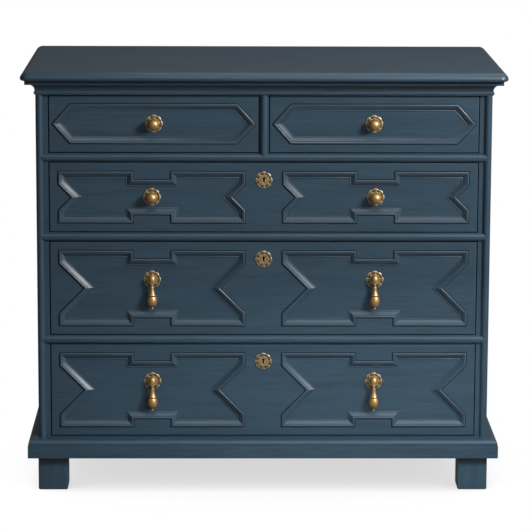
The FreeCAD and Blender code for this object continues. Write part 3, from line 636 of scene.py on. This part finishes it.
def rails():
    """Boards between the stiles, with beads that run on over the stiles' flats and cope to their beads."""
    for name in ("upper_rail", "middle_rail", "lower_rail"):
        low, high = (np.array(c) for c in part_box(name))
        left_front, right_back = (-opening_half, face_y, low[2]), (opening_half, frame_back_y, high[2])
        board = eased_board(left_front, right_back, RAIL_EASE)
        across, proud, saddle = coped_bead(RAIL_BEAD, STILE_BEAD)
        reach = carcass_half - STILE_BEAD / 2 - saddle
        ends = np.array([-1.0, 1.0])[:, None] * reach
        bead = solid(placed(ends, face_y - proud, (low[2] + high[2]) / 2 + across))
        piece(name + "_dressed", [board, bead], paint["x"], "carcass", "painted_oak", name)


def centre_divider():
    """The board between the small drawers, with a bead coped down on to the upper rail's."""
    low, high = (np.array(c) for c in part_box("centre_divider"))
    rail_low, rail_high = (np.array(c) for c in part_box("upper_rail"))
    board = eased_board((low[0], face_y, rail_high[2]), high, RAIL_EASE)
    across, proud, saddle = coped_bead(DIVIDER_BEAD, RAIL_BEAD)
    foot = (rail_low[2] + rail_high[2]) / 2 + saddle
    ends = np.stack([foot, np.full_like(foot, high[2])])
    bead = solid(placed(across, face_y - proud, ends))
    piece("centre_divider_dressed", [board, bead], paint["z"], "carcass", "painted_oak", "centre_divider")


def keyhole_outline(count):
    """Clockwise from the top: the wider of a round eye and a slot that flares down to a rounded foot."""
    z = KEYHOLE_HALF_HEIGHT * np.cos(np.linspace(0, math.pi, count // 2 + 1))
    eye_z = KEYHOLE_HALF_HEIGHT - KEYHOLE_EYE
    eye = np.sqrt(np.maximum(KEYHOLE_EYE**2 - (z - eye_z) ** 2, 0))
    fall = np.clip((eye_z - z) / (eye_z + KEYHOLE_HALF_HEIGHT), 0, 1)
    flare = KEYHOLE_WAIST + (KEYHOLE_FOOT - KEYHOLE_WAIST) * fall
    slot = flare * np.sqrt(1 - np.abs(z / KEYHOLE_HALF_HEIGHT) ** KEYHOLE_SQUARENESS)
    half = np.maximum(eye, np.where(fall > 0, slot, 0))
    return np.concatenate([half[:-1], -half[:0:-1]]), np.concatenate([z[:-1], z[:0:-1]])


def drawer_front(node, hollows):
    """A front with eased edges. Its face is filled between the rim and the outlines of its hollows, which
    are panels or a keyhole, each an outline of (x, z) and a depth."""
    low, high = (np.array(c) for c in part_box(node))
    middle, half = (low + high) / 2, (high - low) / 2
    s, c = quarter(5)
    ease = FRONT_EASE
    inset = np.concatenate([[0], ease * (1 - c), [ease + FRONT_MARGIN]])
    y = np.concatenate([[high[1]], face_y + ease * (1 - s), [face_y]])
    corner = np.maximum(FRONT_CORNER * ease - inset, LEAST_CORNER * ease)
    x, z = rounded_rectangle(half[0] - inset, half[2] - inset, corner)
    rings = placed(middle[0] + x, y[:, None], middle[2] + z)
    points, faces = grid(rings, wrap_cols=True)
    count = rings.shape[1]
    faces.append(list(range(count))[::-1])
    outlines = [rings[-1][:, ::2]] + [np.array(outline) for outline, _ in hollows]
    start = len(points) - count
    fill = tessellate_polygon([np.pad(outline, ((0, 0), (0, 1))).tolist() for outline in outlines])
    faces += (start + np.array(fill)).tolist()
    shallow = np.concatenate([placed(o[:, 0], face_y, o[:, 1]) for o in outlines[1:]])
    depths = [depth for _, depth in hollows]
    sunk = np.concatenate([placed(o[:, 0], face_y + d, o[:, 1]) for o, d in zip(outlines[1:], depths)])
    here, offset = len(points), len(shallow)
    for outline in outlines[1:]:
        ring = here + np.arange(len(outline))
        ahead = np.roll(ring, -1)
        faces += np.stack([ring, ahead, ahead + offset, ring + offset], -1).tolist()
        faces.append((ring + offset).tolist())
        here += len(outline)
    return np.concatenate([points, shallow, sunk]), faces


def mould_section():
    """In from the outer edge: a shoulder, a half-round bead, a sunk quirk, a slope and a fine toe bead."""
    across, proud = bead_curve(MOULD_BEAD, MOULD_HEIGHT - MOULD_SHOULDER, 8)
    toe_across, toe_proud = bead_curve(MOULD_TOE_BEAD, MOULD_TOE_PROUD, 6)
    slope_start = MOULD_BEAD + MOULD_QUIRK_WIDTH
    inward = np.concatenate([
        [0], MOULD_BEAD / 2 + across, [MOULD_BEAD, slope_start],
        MOULD_WIDTH - MOULD_TOE_BEAD / 2 + toe_across, [MOULD_WIDTH],
    ])
    height = np.concatenate([
        [0], MOULD_SHOULDER + proud, [MOULD_QUIRK_LEVEL, MOULD_QUIRK_LEVEL], MOULD_TOE + toe_proud, [0],
    ])
    return inward, height


def mould_loop(corners):
    """The moulding carried round a clockwise outline, mitred at each corner, its grain along each stick."""
    inward, height = mould_section()
    plan = corners[:, None] + inward[None, :, None] * mitres(corners, closed=True)[:, None]
    points = placed(plan[..., 0], panel_y - height, plan[..., 1])
    ahead = np.roll(corners, -1, 0) - corners
    ahead /= np.linalg.norm(ahead, axis=1)[:, None]
    start = np.einsum("ijk,ik->ij", plan, ahead)
    end = np.einsum("ijk,ik->ij", np.roll(plan, -1, 0), ahead)
    across = np.concatenate([[0], np.cumsum(np.hypot(np.diff(inward), np.diff(height)))])
    across_next = np.append(across[1:], across[-1] + MOULD_WIDTH)
    offset = STICK_GRAIN_SHIFT * np.arange(len(corners))[:, None]
    near, far = across + offset, across_next + offset
    u = np.stack([start, np.roll(start, -1, 1), np.roll(end, -1, 1), end], -1)
    v = np.stack([near, far, far, near], -1)
    return grid(points, wrap_rows=True, wrap_cols=True), np.stack([u, v], -1).reshape(-1, 2)


def loop_corners(x, z):
    """A long drawer's loop: V notches at the ends, a square notch at the top and bottom."""
    middle = np.array([sum(x) / 2, sum(z) / 2])
    wide, tall = (x[1] - x[0]) / 2, (z[1] - z[0]) / 2
    notch = NOTCH_WIDTH / 2
    vee = tall - LOOP_LEG
    half = np.array([
        (notch, tall - NOTCH_DEPTH), (notch, tall), (wide, tall), (wide, vee), (wide - vee, 0),
        (wide, -vee), (wide, -tall), (notch, -tall), (notch, NOTCH_DEPTH - tall),
    ])
    return middle + np.concatenate([half, -half])


def hexagon_corners(x, z):
    """A small drawer's long hexagon with pointed ends."""
    level = sum(z) / 2
    left, right = x[0] + HEXAGON_END_RUN, x[1] - HEXAGON_END_RUN
    low, high = z
    return np.array([(left, high), (right, high), (x[1], level), (right, low), (left, low), (x[0], level)])


def sunk_outline(corners):
    """Where a panel's sinking is cut: the moulding's outline moved out by the gap, its corners sharp."""
    return corners - PANEL_GAP * mitres(corners, closed=True)


def turned(radius, out, place, outward, segments):
    """A turned solid: radii and lengths along an axis, spun about it, closed by a flat cap at each end."""
    radius, out = np.asarray(radius, float), np.asarray(out, float)
    outward = np.asarray(outward, float)
    side = np.array([0, 1.0, 0] if outward[0] else [1.0, 0, 0])
    other = np.cross(outward, side)
    angle = np.linspace(0, TURN, segments, endpoint=False)
    spoke = np.cos(angle)[:, None] * side + np.sin(angle)[:, None] * other
    rings = np.asarray(place) + out[:, None, None] * outward + radius[:, None, None] * spoke
    return solid(rings)


def flow(knots, steps=8):
    """A smooth profile through (radius, length) knots: a Catmull-Rom curve, even steps in each span."""
    p = np.asarray(knots, float)
    p = np.concatenate([[2 * p[0] - p[1]], p, [2 * p[-1] - p[-2]]])
    t = np.linspace(0, 1, steps, endpoint=False)[None, :, None]
    a, b, c, d = (p[i : len(p) - 3 + i, None] for i in range(4))
    bend, twist = 2 * a - 5 * b + 4 * c - d, 3 * b - a - 3 * c + d
    curve = (2 * b + (c - a) * t + bend * t**2 + twist * t**3) / 2
    return np.concatenate([curve.reshape(-1, 2), p[-2:-1]])


def plate_edge(sizes):
    """The edge of an eighth of a plate, its rim the further of the lobes' arcs and the valleys' circle."""
    lobe_circle = sizes["radius"] - sizes["lobe"]
    sweep = np.linspace(-LOBE_STEP / 2, LOBE_STEP / 2, PLATE_ARC_STEPS + 1)
    from_lobe = LOBE_STEP / 2 - np.abs(sweep)
    lobe_rise = np.sqrt(sizes["lobe"] ** 2 - (lobe_circle * np.sin(from_lobe)) ** 2)
    rim = np.maximum(lobe_circle * np.cos(from_lobe) + lobe_rise, sizes["valley"])
    spoke = np.linspace(sizes["inner"], sizes["radius"], PLATE_SPOKE_STEPS + 1)
    hub_arc = np.full(PLATE_ARC_STEPS, sizes["inner"])
    side = np.full(PLATE_SPOKE_STEPS, LOBE_STEP / 2)
    out = np.concatenate([hub_arc, spoke[:-1], rim[:0:-1], spoke[:0:-1]])
    angle = np.concatenate([sweep[:-1], side, sweep[:0:-1], -side])
    return np.stack([out * np.cos(angle), out * np.sin(angle)], -1)


def plate_height(flat, share, sizes):
    """Heights on an eighth of a plate: up from the piercing and down at the rim by quarter rounds, with a
    swell on each lobe that falls off by exp(-d^2)."""
    lift = np.sqrt(1 - (1 - np.clip(share / PIERCING_ROUND, 0, 1)) ** 2)
    column = np.arange(flat.shape[1])
    at_rim = (column >= RIM_START) & (column <= RIM_END)
    fall = np.where(at_rim, np.clip((share - RIM_ROUND) / (1 - RIM_ROUND), 0, 1), 0)
    drawn_in = RIM_FALL * (1 - np.sqrt(1 - fall**2))
    reach, bend = np.hypot(flat[..., 0], flat[..., 1]), np.arctan2(flat[..., 1], flat[..., 0])
    beyond = reach - sizes["holes"] - LOBE_SWELL_OUT
    beside = reach * (LOBE_STEP / 2 - np.abs(bend))
    swell = np.exp(-((beyond / LOBE_SWELL_REACH) ** 2) - (beside / LOBE_SWELL_REACH) ** 2)
    return PLATE_THICK * (PIERCING_LIP + PIERCING_RISE * lift - drawn_in) + LOBE_SWELL * swell


def keyhole_wall(x, z, seat_y, count):
    """Rings of points down the wall of a plate's keyhole, each from its right-hand side anticlockwise."""
    key_x, key_z = keyhole_outline(count)
    order = (count // 4 - np.arange(count)) % count
    level = PLATE_THICK * np.array(KEYHOLE_LEVELS)[:, None]
    grow = np.array(KEYHOLE_FLARE)[:, None]
    return placed(x + key_x[order] * grow, seat_y - level, z + key_z[order] * grow).reshape(-1, 3)


def pierced_plate(x, z, seat_y, sizes, keyhole=False):
    """A scalloped plate. Each eighth is rings of points, from the floor of its oval piercing up the wall,
    out to its edge in straight lines and down to the back, and the eighths are spun round the middle."""
    edge = plate_edge(sizes)
    hub = np.array([sizes["holes"], 0.0])
    bearing = np.arctan2(edge[:, 1], edge[:, 0] - hub[0])
    hole = hub + np.stack([HOLE_ACROSS * np.cos(bearing), HOLE_ALONG * np.sin(bearing)], -1)
    share = np.array(PLATE_RINGS)[:, None]
    flat = hole + (edge - hole) * share[..., None]
    count, rows = len(edge), len(share) + 2
    layout = np.concatenate([flat[:1], flat, flat[-1:]])
    sunk, back = np.full((1, count), PIERCING_FLOOR), np.zeros((1, count))
    level = np.concatenate([sunk, plate_height(flat, share, sizes), back])
    spun = (np.arange(PLATE_LOBES) * LOBE_STEP + LOBE_STEP / 2)[:, None, None]
    px = x + layout[..., 0] * np.cos(spun) - layout[..., 1] * np.sin(spun)
    pz = z + layout[..., 0] * np.sin(spun) + layout[..., 1] * np.cos(spun)
    points = placed(px, seat_y - level[None], pz).reshape(-1, 3)
    on_rim = np.arange(RIM_START, RIM_END)
    eighth = np.array(grid(placed(px[0], level, pz[0]), wrap_cols=True)[1])
    wall = eighth[:, 0] - (rows - 2) * count
    eighth = eighth[(wall < 0) | np.isin(wall, on_rim)]
    base = np.arange(PLATE_LOBES)[:, None] * rows * count
    faces = (base[..., None] + eighth).reshape(-1, 4).tolist() + (base + np.arange(count)).tolist()
    inner = (base + (rows - 2) * count + np.arange(PLATE_ARC_STEPS)).ravel()
    back_rim = np.roll((base[::-1] + (rows - 1) * count + on_rim).ravel()[::-1], 1)
    if not keyhole:
        return points, faces + [inner.tolist(), back_rim[::-1].tolist()]
    key_points = keyhole_wall(x, z, seat_y, len(inner))
    key = len(points) + np.arange(len(key_points)).reshape(-1, len(inner))
    rings = np.concatenate([inner[None], key, back_rim[None]])
    following = np.roll(rings, -1, 1)
    bridge = np.stack([rings[:-1], rings[1:], following[1:], following[:-1]], -1).reshape(-1, 4)
    return np.concatenate([points, key_points]), faces + bridge.tolist()


def link(x, lower, upper, radius, thick, ease):
    """A flat bar with round ends between two points (y, z), its outline drawn in to ease both faces."""
    s, c = quarter(3)
    margin = BAR_MARGIN * ease
    inset = np.concatenate([[margin], ease * (1 - s), ease * (1 - s[::-1]), [margin]])[:, None]
    side = np.concatenate([[0], ease * (1 - c), thick - ease * (1 - c[::-1]), [thick]])[:, None]
    angle = np.linspace(0, math.pi, EYE_STEPS + 1)
    under, over = math.pi + angle, angle
    bend = radius - inset
    y = np.concatenate([lower[0] + bend * np.cos(under), upper[0] + bend * np.cos(over)], 1)
    z = np.concatenate([lower[1] + bend * np.sin(under), upper[1] + bend * np.sin(over)], 1)
    return solid(placed(x - thick / 2 + side, y, z))


def ball_knob(place):
    """A turned knob: a collar, a waisted neck and a ball, whose radius is sin and whose depth is -cos."""
    centre = PLATE_THICK + KNOB_STANDOFF
    start = math.asin(KNOB_NECK / KNOB_BALL)
    angle = np.linspace(start, math.pi - KNOB_TIP_ANGLE, KNOB_STEPS + 1)
    seat = PLATE_THICK / 2
    collar_top = PLATE_THICK + KNOB_COLLAR_HEIGHT
    neck_top = centre - KNOB_BALL * math.cos(start)
    waist = flow([
        (KNOB_COLLAR, seat), (KNOB_COLLAR, collar_top - KNOB_COLLAR_ROUND),
        (KNOB_COLLAR - KNOB_COLLAR_TAPER, collar_top),
        (KNOB_NECK + KNOB_NECK_FLARE, collar_top + KNOB_NECK_INSET),
        (KNOB_NECK - KNOB_NECK_WAIST, neck_top - KNOB_NECK_INSET),
    ])
    radius = np.concatenate([waist[:, 0], KNOB_BALL * np.sin(angle)])
    out = np.concatenate([waist[:, 1], centre - KNOB_BALL * np.cos(angle)])
    return turned(radius, out, place, (0, -1, 0), KNOB_SEGMENTS)


def dome_slice(x, z, level, left, right):
    """Part of an oval dome, between left and right shares of its width at each level: rings across it whose
    height is the wall plus the dome's sqrt(1 - u^2 - w^2)."""
    half = np.sqrt(1 - level**2)[:, None]
    share = np.linspace(0, 1, POST_ACROSS_STEPS + 1)
    u = np.maximum(left, -half) + (np.minimum(right, half) - np.maximum(left, -half)) * share
    rise = np.sqrt(np.maximum(1 - u**2 - level[:, None] ** 2, 0))
    out = PLATE_THICK + POST_WALL + POST_HALF_WIDTH * rise
    u = np.concatenate([u[:, :1], u, u[:, -1:]], 1)
    foot = np.full_like(half, PLATE_THICK / 2)
    out = np.concatenate([foot, out, foot], 1)
    return solid(placed(x + POST_HALF_WIDTH * u, panel_y - out, z + POST_HALF_HEIGHT * level[:, None]))


def drop_post(pivot):
    """What carries a drop: an oval dome, slotted below for the eye, and the cross pin in the slot."""
    x = pivot[0]
    rosette_z = pivot[2] + PIVOT_DROP
    slot = TONGUE_THICK / 2 + TONGUE_CLEAR
    beside = slot / POST_HALF_WIDTH
    slot_top = (pivot[2] + EYE_RADIUS + EYE_CLEAR - rosette_z) / POST_HALF_HEIGHT
    lowest = POST_FOOT_SHARE * math.sqrt(1 - beside**2)
    upper = np.sin(np.linspace(math.asin(slot_top), POST_TOP_ANGLE, POST_UPPER_STEPS + 1))
    lower = np.sin(np.linspace(-math.asin(lowest), math.asin(slot_top), POST_LOWER_STEPS + 1))
    shells = [dome_slice(x, rosette_z, upper, -1, 1)]
    shells += [dome_slice(x, rosette_z, lower, *edges) for edges in ((-1, -beside), (beside, 1))]
    reach = slot + PIN_SEAT
    return shells + [turned([PIN_RADIUS, PIN_RADIUS], [-reach, reach], pivot, (1, 0, 0), PIN_SEGMENTS)]


def pear_drop(pivot):
    """A turned drop below its eye: a bell that flares to a lip, a groove, a pear and a finial."""
    x, y, z = pivot
    eye = link(x, (y, z - DROP_STEM), (y, z), EYE_RADIUS, TONGUE_THICK, EYE_EASE)
    bell = flow(np.array(DROP_BELL) * MM)
    pear = flow(np.array(DROP_PEAR) * MM)
    profile = np.concatenate([bell, pear])
    return [eye, turned(profile[:, 0], profile[:, 1], pivot, (0, 0, -1), DROP_SEGMENTS)]


def drawer_box(drawer, body):
    """Sides, back and bottom of a drawer as eased boards, in the boxes of the frame's own."""
    low, high = (np.array(c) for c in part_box(drawer + "_sides"))
    sides = []
    for x in (low[0], high[0] - DRAWER_SIDE_THICK):
        far_corner = (x + DRAWER_SIDE_THICK, high[1], high[2])
        sides.append(eased_board((x, low[1], low[2]), far_corner, BOARD_EASE))
    piece(drawer + "_sides_dressed", sides, lining["y"], body, "drawer_lining", drawer + "_sides")
    for part in ("_back", "_bottom"):
        board = eased_board(*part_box(drawer + part), BOARD_EASE)
        piece(drawer + part + "_dressed", [board], lining["x"], body, "drawer_lining", drawer + part)


def small_drawer(side):
    """A small drawer: one panel in a hexagon of moulding, a rosette and a ball knob."""
    drawer, body = "small_" + side, "small_drawer_" + side
    low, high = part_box(drawer + "_moulding")
    corners = hexagon_corners((low.x, high.x), (low.z, high.z))
    front = drawer_front(drawer + "_front", [(sunk_outline(corners), panel_y - face_y)])
    piece(drawer + "_front_dressed", [front], paint["x"], body, "painted_oak", drawer + "_front")
    loop, uv = mould_loop(corners)
    moulding = drawer + "_moulding"
    piece(moulding + "_dressed", [loop], stick_paint, body, "painted_oak", moulding, uv=uv)
    x, _, z = centre_of(drawer + "_knob")
    plate = pierced_plate(x, z, panel_y, ROSETTE)
    piece(drawer + "_rosette_dressed", [plate], plate_brass, body, "aged_brass", drawer + "_rosette")
    knob = ball_knob((x, panel_y, z))
    piece(drawer + "_knob_dressed", [knob], turned_brass, body, "aged_brass", drawer + "_knob")
    drawer_box(drawer, body)


def long_drawer(drawer):
    """A long drawer: two panels in loops of moulding, a keyhole in its escutcheon, and its pulls."""
    body = drawer + "_drawer"
    low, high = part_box(drawer + "_mouldings")
    spans = (low.x, -LOOP_FROM_CENTRE), (LOOP_FROM_CENTRE, high.x)
    outlines = [loop_corners(span, (low.z, high.z)) for span in spans]
    key_x, _, key_z = centre_of(drawer + "_escutcheon")
    keyhole = np.stack(keyhole_outline(KEYWAY_POINTS), -1) + (key_x, key_z)
    hollows = [(sunk_outline(outline), panel_y - face_y) for outline in outlines]
    hollows.append((keyhole, KEYWAY_DEPTH))
    front = drawer_front(drawer + "_front", hollows)
    piece(drawer + "_front_dressed", [front], paint["x"], body, "painted_oak", drawer + "_front")
    loops, uvs = zip(*(mould_loop(outline) for outline in outlines))
    mouldings, uv = drawer + "_mouldings", np.concatenate(uvs)
    piece(mouldings + "_dressed", loops, stick_paint, body, "painted_oak", mouldings, uv=uv)
    plate = pierced_plate(key_x, key_z, face_y, ESCUTCHEON, keyhole=True)
    piece(drawer + "_escutcheon_dressed", [plate], plate_brass, body, "aged_brass", drawer + "_escutcheon")
    pivots = [joint["pos_m"] for joint in frame["joints"] if joint["name"].startswith(drawer + "_drop")]
    if pivots:
        pulls = [(pivot[0], pivot[2] + PIVOT_DROP) for pivot in pivots]
    else:
        pull_x, pull_z = (low.x - LOOP_FROM_CENTRE) / 2, centre_of(drawer + "_knobs")[2]
        pulls = [(pull_x, pull_z), (-pull_x, pull_z)]
    plates = [pierced_plate(x, z, panel_y, ROSETTE) for x, z in pulls]
    piece(drawer + "_rosettes_dressed", plates, plate_brass, body, "aged_brass", drawer + "_rosettes")
    if pivots:
        posts = [shell for pivot in pivots for shell in drop_post(pivot)]
        piece(drawer + "_posts_dressed", posts, turned_brass, body, "aged_brass")
        for pivot in pivots:
            drop = drawer + ("_drop_left" if pivot[0] < 0 else "_drop_right")
            piece(drop + "_dressed", pear_drop(pivot), turned_brass, drop, "aged_brass", drop)
    else:
        knobs = [ball_knob((x, panel_y, z)) for x, z in pulls]
        piece(drawer + "_knobs_dressed", knobs, turned_brass, body, "aged_brass", drawer + "_knobs")
    drawer_box(drawer, body)


def carcass_boards():
    """Boards of the case that need no shaping, with eased edges: sides, back, top rail and bottom."""
    for node, axis in (("side_left", "z"), ("side_right", "z"), ("back_panel", "z"), ("top_rail", "x")):
        board = eased_board(*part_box(node), BOARD_EASE)
        piece(node + "_dressed", [board], paint[axis], "carcass", "painted_oak", node)
    board = eased_board(*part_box("bottom_board"), BOARD_EASE)
    piece("bottom_board_dressed", [board], lining["x"], "carcass", "drawer_lining", "bottom_board")
    for holder in frame["nodes"]["drawer_runners"].material_slots:
        holder.material = lining["y"]


top_board()
cornice()
plinth()
feet()
stiles()
rails()
centre_divider()
carcass_boards()
small_drawer("left")
small_drawer("right")
long_drawer("upper")
long_drawer("middle")
long_drawer("lower")

# Studio: a pale floor with a painted shadow under the chest, a white surround, a softbox high on the right,
# a strip above the front, a softbox overhead, a low card that lights the floor before the front, and a weak
# softbox behind, below the top. Places and sizes are in metres.
FLOOR_SIZE = 60.0
FLOOR_SHADE = 0.64
FLOOR_OPEN = 0.6
FLOOR_REACH = 1.0
PAPER_TONE = 0.3
FLOOR_IN_GLOSS = 0.15
ROOM_IN_GLOSS = 0.12
AMBIENT = 0.0
KEY_PLACE = (2.05, -2.1, 2.0)
KEY_AIM = (0.0, -0.2, 0.5)
KEY_SIZE = 0.72
KEY_POWER = 124.0
STRIP_PLACE = (0.2, -2.1, 2.4)
STRIP_AIM = (0.2, -0.25, 0.55)
STRIP_WIDTH = 2.4
STRIP_HEIGHT = 0.35
STRIP_POWER = 8.0
OVERHEAD_PLACE = (1.0, -0.3, 2.4)
OVERHEAD_AIM = (1.0, -0.3, 0.0)
OVERHEAD_SIZE = 2.8
OVERHEAD_POWER = 27.0
CARD_PLACE = (0.25, -1.0, 0.5)
CARD_AIM = (0.25, -1.0, 0.0)
CARD_SIZE = 0.8
CARD_POWER = 10.0
BACK_PLACE = (0.3, 2.4, 0.55)
BACK_AIM = (0.0, 0.3, 0.5)
BACK_SIZE = 0.8
BACK_POWER = 20.0

# Camera, fitted to the photograph: place in metres, turns in degrees, lens and sensor in millimetres
CAMERA_PLACE = (-0.095, -6.333, 1.681)
CAMERA_YAW = 0.92
CAMERA_PITCH = 10.087
CAMERA_ROLL = 0.229
CAMERA_LENS = 184.87
CAMERA_SENSOR = 36.0
CAMERA_SHIFT = -0.06
CAMERA_REACH = 100.0


def seen_rays(tree):
    """Two switches: one for rays from the camera, and one for those and what gloss and glass show."""
    path = add(tree, "ShaderNodeLightPath").outputs
    camera, gloss, glass = path["Is Camera Ray"], path["Is Glossy Ray"], path["Is Transmission Ray"]
    bounced = add(tree, "ShaderNodeMath", {0: gloss, 1: glass}, operation="MAXIMUM").outputs[0]
    seen = add(tree, "ShaderNodeMath", {0: camera, 1: bounced}, operation="MAXIMUM").outputs[0]
    return camera, seen


def softbox(name, place, aim, power, width, height=None):
    """An area lamp at a place, turned to face its aim: square where no height is given."""
    lamp = bpy.data.lights.new(name, "AREA")
    lamp.shape = "RECTANGLE"
    lamp.size = width
    lamp.size_y = height or width
    lamp.energy = power
    made = bpy.data.objects.new(name, lamp)
    towards = Vector(aim) - Vector(place)
    made.matrix_world = Matrix.Translation(place) @ towards.to_track_quat("-Z", "Y").to_matrix().to_4x4()
    bpy.context.scene.collection.objects.link(made)
    return made


def studio_floor():
    """A sheet of paper that the camera sees white, with a painted shadow where the chest closes in on it.
    """
    mesh = bpy.data.meshes.new("studio_floor")
    half = FLOOR_SIZE / 2
    corners = [(-half, -half, 0), (half, -half, 0), (half, half, 0), (-half, half, 0)]
    mesh.from_pydata(corners, [], [(0, 1, 2, 3)])
    floor = bpy.data.objects.new("studio_floor", mesh)
    bpy.context.scene.collection.objects.link(floor)
    material, tree = new_material("white_studio_paper")
    camera_ray, seen = seen_rays(tree)
    tone = (PAPER_TONE, PAPER_TONE, PAPER_TONE, 1)
    paper = add(tree, "ShaderNodeBsdfDiffuse", {"Color": tone}).outputs[0]
    # Painted shadow: the paper's white glow dims to FLOOR_SHADE where the chest closes it in
    clear = add(tree, "ShaderNodeAmbientOcclusion", {"Distance": FLOOR_REACH}, samples=16).outputs["AO"]
    shade = add(tree, "ShaderNodeMapRange", {
        "Value": clear, 2: FLOOR_OPEN, 3: FLOOR_SHADE, 4: 1.0,
    }).outputs[0]
    shown = add(
        tree, "ShaderNodeMix", {0: camera_ray, 2: FLOOR_IN_GLOSS, 3: 1.0}, data_type="FLOAT",
    ).outputs[0]
    level = add(tree, "ShaderNodeMath", {0: shade, 1: shown}, operation="MULTIPLY").outputs[0]
    white = add(tree, "ShaderNodeEmission", {"Color": (1, 1, 1, 1), "Strength": level}).outputs[0]
    both = add(tree, "ShaderNodeMixShader", {0: seen, 1: paper, 2: white}).outputs[0]
    add(tree, "ShaderNodeOutputMaterial", {"Surface": both})
    mesh.materials.append(material)
    return floor


def studio_surround():
    """A world that the camera sees white, dimmer in the gloss of the chest."""
    world = bpy.data.worlds.new("studio_surround")
    world.use_nodes = True
    tree = world.node_tree
    tree.nodes.clear()
    camera_ray, seen = seen_rays(tree)
    shown = add(
        tree, "ShaderNodeMix", {0: camera_ray, 2: ROOM_IN_GLOSS, 3: 1.0}, data_type="FLOAT",
    ).outputs[0]
    strength = add(tree, "ShaderNodeMix", {0: seen, 2: AMBIENT, 3: shown}, data_type="FLOAT").outputs[0]
    surround = add(tree, "ShaderNodeBackground", {"Color": (1, 1, 1, 1), "Strength": strength}).outputs[0]
    add(tree, "ShaderNodeOutputWorld", {"Surface": surround})
    bpy.context.scene.world = world


def studio_camera():
    """The camera, turned by its yaw, pitch and roll."""
    lens = bpy.data.cameras.new("camera")
    lens.lens = CAMERA_LENS
    lens.sensor_width = CAMERA_SENSOR
    lens.shift_y = CAMERA_SHIFT
    lens.clip_end = CAMERA_REACH
    camera = bpy.data.objects.new("camera", lens)
    camera.matrix_world = (
        Matrix.Translation(CAMERA_PLACE)
        @ Matrix.Rotation(math.radians(-CAMERA_YAW), 4, "Z")
        @ Matrix.Rotation(math.radians(90 - CAMERA_PITCH), 4, "X")
        @ Matrix.Rotation(math.radians(CAMERA_ROLL), 4, "Z")
    )
    bpy.context.scene.collection.objects.link(camera)
    bpy.context.scene.camera = camera


def studio():
    """Floor, surround, softboxes and camera."""
    floor = studio_floor()
    studio_surround()
    softbox("key_softbox", KEY_PLACE, KEY_AIM, KEY_POWER, KEY_SIZE)
    softbox("front_strip", STRIP_PLACE, STRIP_AIM, STRIP_POWER, STRIP_WIDTH, STRIP_HEIGHT)
    softbox("overhead_softbox", OVERHEAD_PLACE, OVERHEAD_AIM, OVERHEAD_POWER, OVERHEAD_SIZE)
    card = softbox("floor_card", CARD_PLACE, CARD_AIM, CARD_POWER, CARD_SIZE)
    back = softbox("back_softbox", BACK_PLACE, BACK_AIM, BACK_POWER, BACK_SIZE)
    for fill in (card, back):
        fill.visible_camera = False
        fill.visible_glossy = False
    studio_camera()
    bpy.context.scene.view_settings.view_transform = "Standard"


studio()
